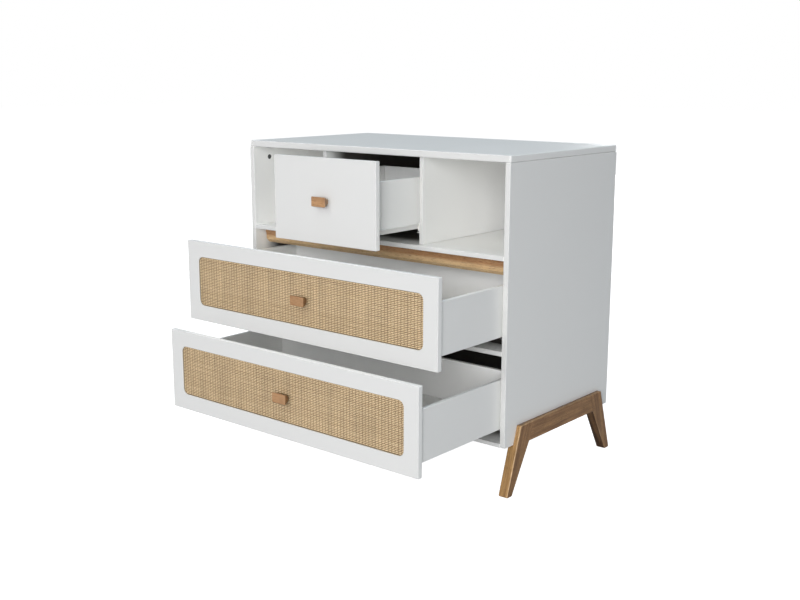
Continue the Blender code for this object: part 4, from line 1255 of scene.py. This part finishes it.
# %% [markdown]
# ## The studio
#
# The photograph is a cut-out on white: its fronts are lit evenly, the top and the side a step
# darker, and no shadow lies on the floor. Four large soft boxes ten metres away give that light.
# Their powers come from a fit: each box was rendered alone, and the least squares sum of those
# pictures was matched to the tones of twenty-odd patches in the photograph. Two weaker boxes at
# the left and behind serve the views that the photograph doesn't show. The world is white to the
# camera only, and to everything else it is a faint fill.

# %% Hang the soft boxes
AIM = (0.0, 0.0, 0.5)
SOFT_BOXES = {
    "front_right_box": ((5.2, -9.0, 2.6), 5.0, 785.0, (0.99, 0.99, 1.0)),
    "front_box": ((0.0, -10.0, 2.0), 6.0, 390.0, (0.91, 0.89, 1.0)),
    "front_high_box": ((0.0, -7.0, 7.0), 5.0, 235.0, (1.0, 1.0, 0.91)),
    "top_box": ((0.5, 0.5, 10.0), 6.0, 430.0, (0.79, 0.89, 1.0)),
    "left_box": ((-9.0, 1.0, 1.7), 3.2, 260.0, (1.0, 1.0, 1.0)),
    "rear_box": ((-2.5, 9.0, 1.7), 3.2, 260.0, (1.0, 1.0, 1.0)),
}


def add_light(name, place, aim, size, power, colour):
    """A square soft box whose three axes are side, up and back, seen from its aim."""
    lamp = bpy.data.lights.new(name, "AREA")
    lamp.size = size
    lamp.energy = power
    lamp.color = colour
    holder = bpy.data.objects.new(name, lamp)
    bpy.context.scene.collection.objects.link(holder)
    back = np.subtract(place, aim) / np.linalg.norm(np.subtract(place, aim))
    side = np.cross((0, 0, 1), back)
    side /= np.linalg.norm(side)
    turned_to = np.identity(4)
    turned_to[:3, :3] = np.column_stack([side, np.cross(back, side), back])
    turned_to[:3, 3] = place
    holder.matrix_world = Matrix(turned_to.tolist())


for name, (place, size, power, colour) in SOFT_BOXES.items():
    add_light(name, place, AIM, size, power, colour)
print("soft boxes", len(SOFT_BOXES))

# %% Fill the world
FILL_COLOUR, FILL_STRENGTH = (0.6, 0.8, 1.0, 1), 0.04
world = bpy.data.worlds.new("studio")
bpy.context.scene.world = world
world.use_nodes = True
sky = world.node_tree
sky.nodes.clear()
seen = add(sky, "LightPath").outputs["Is Camera Ray"]
fill = add(sky, "Background", {"Color": FILL_COLOUR, "Strength": FILL_STRENGTH})
white = add(sky, "Background", {"Color": (1, 1, 1, 1), "Strength": 1.0})
mixed = add(sky, "MixShader", {0: seen, 1: fill.outputs[0], 2: white.outputs[0]})
add(sky, "OutputWorld", {0: mixed.outputs[0]})
print("world", world.name)

# %% Lay the floor
FLOOR_HALF, FLOOR_LEVEL = 30.0, -0.5 * MM
FLOOR_GREY, NEAR_GLOW, FAR_GLOW = 0.5, 0.95, 1.0
GLOW_START, GLOW_END = 0.7, 2.2

floor_mesh = bpy.data.meshes.new("floor")
floor_corners = rectangle((-FLOOR_HALF, -FLOOR_HALF), (FLOOR_HALF, FLOOR_HALF))
floor_mesh.from_pydata([(x, y, FLOOR_LEVEL) for x, y in floor_corners], [], [(0, 1, 2, 3)])
floor = bpy.data.objects.new("floor", floor_mesh)
bpy.context.scene.collection.objects.link(floor)

paper = bpy.data.materials.new("floor_paper")
paper.use_nodes = True
tree = paper.node_tree
shader = tree.nodes["Principled BSDF"]
shader.inputs["Base Color"].default_value = (FLOOR_GREY, FLOOR_GREY, FLOOR_GREY, 1)
shader.inputs["Roughness"].default_value = 1.0
shader.inputs["Specular IOR Level"].default_value = 0.0
place = add(tree, "TexCoord").outputs["Object"]
away = add(tree, "VectorMath", {0: place}, operation="LENGTH").outputs["Value"]
strength = between(tree, away, GLOW_START, GLOW_END, NEAR_GLOW, FAR_GLOW)
glow = add(tree, "Emission", {"Color": (1, 1, 1, 1), "Strength": strength})
both = add(tree, "AddShader", {0: shader.outputs[0], 1: glow.outputs[0]})
seen = add(tree, "LightPath").outputs["Is Camera Ray"]
floor_mix = add(tree, "MixShader", {0: seen, 1: shader.outputs[0], 2: both.outputs[0]})
tree.links.new(floor_mix.outputs[0], tree.nodes["Material Output"].inputs[0])
floor_mesh.materials.append(paper)
print("floor", 2 * FLOOR_HALF, "m wide")
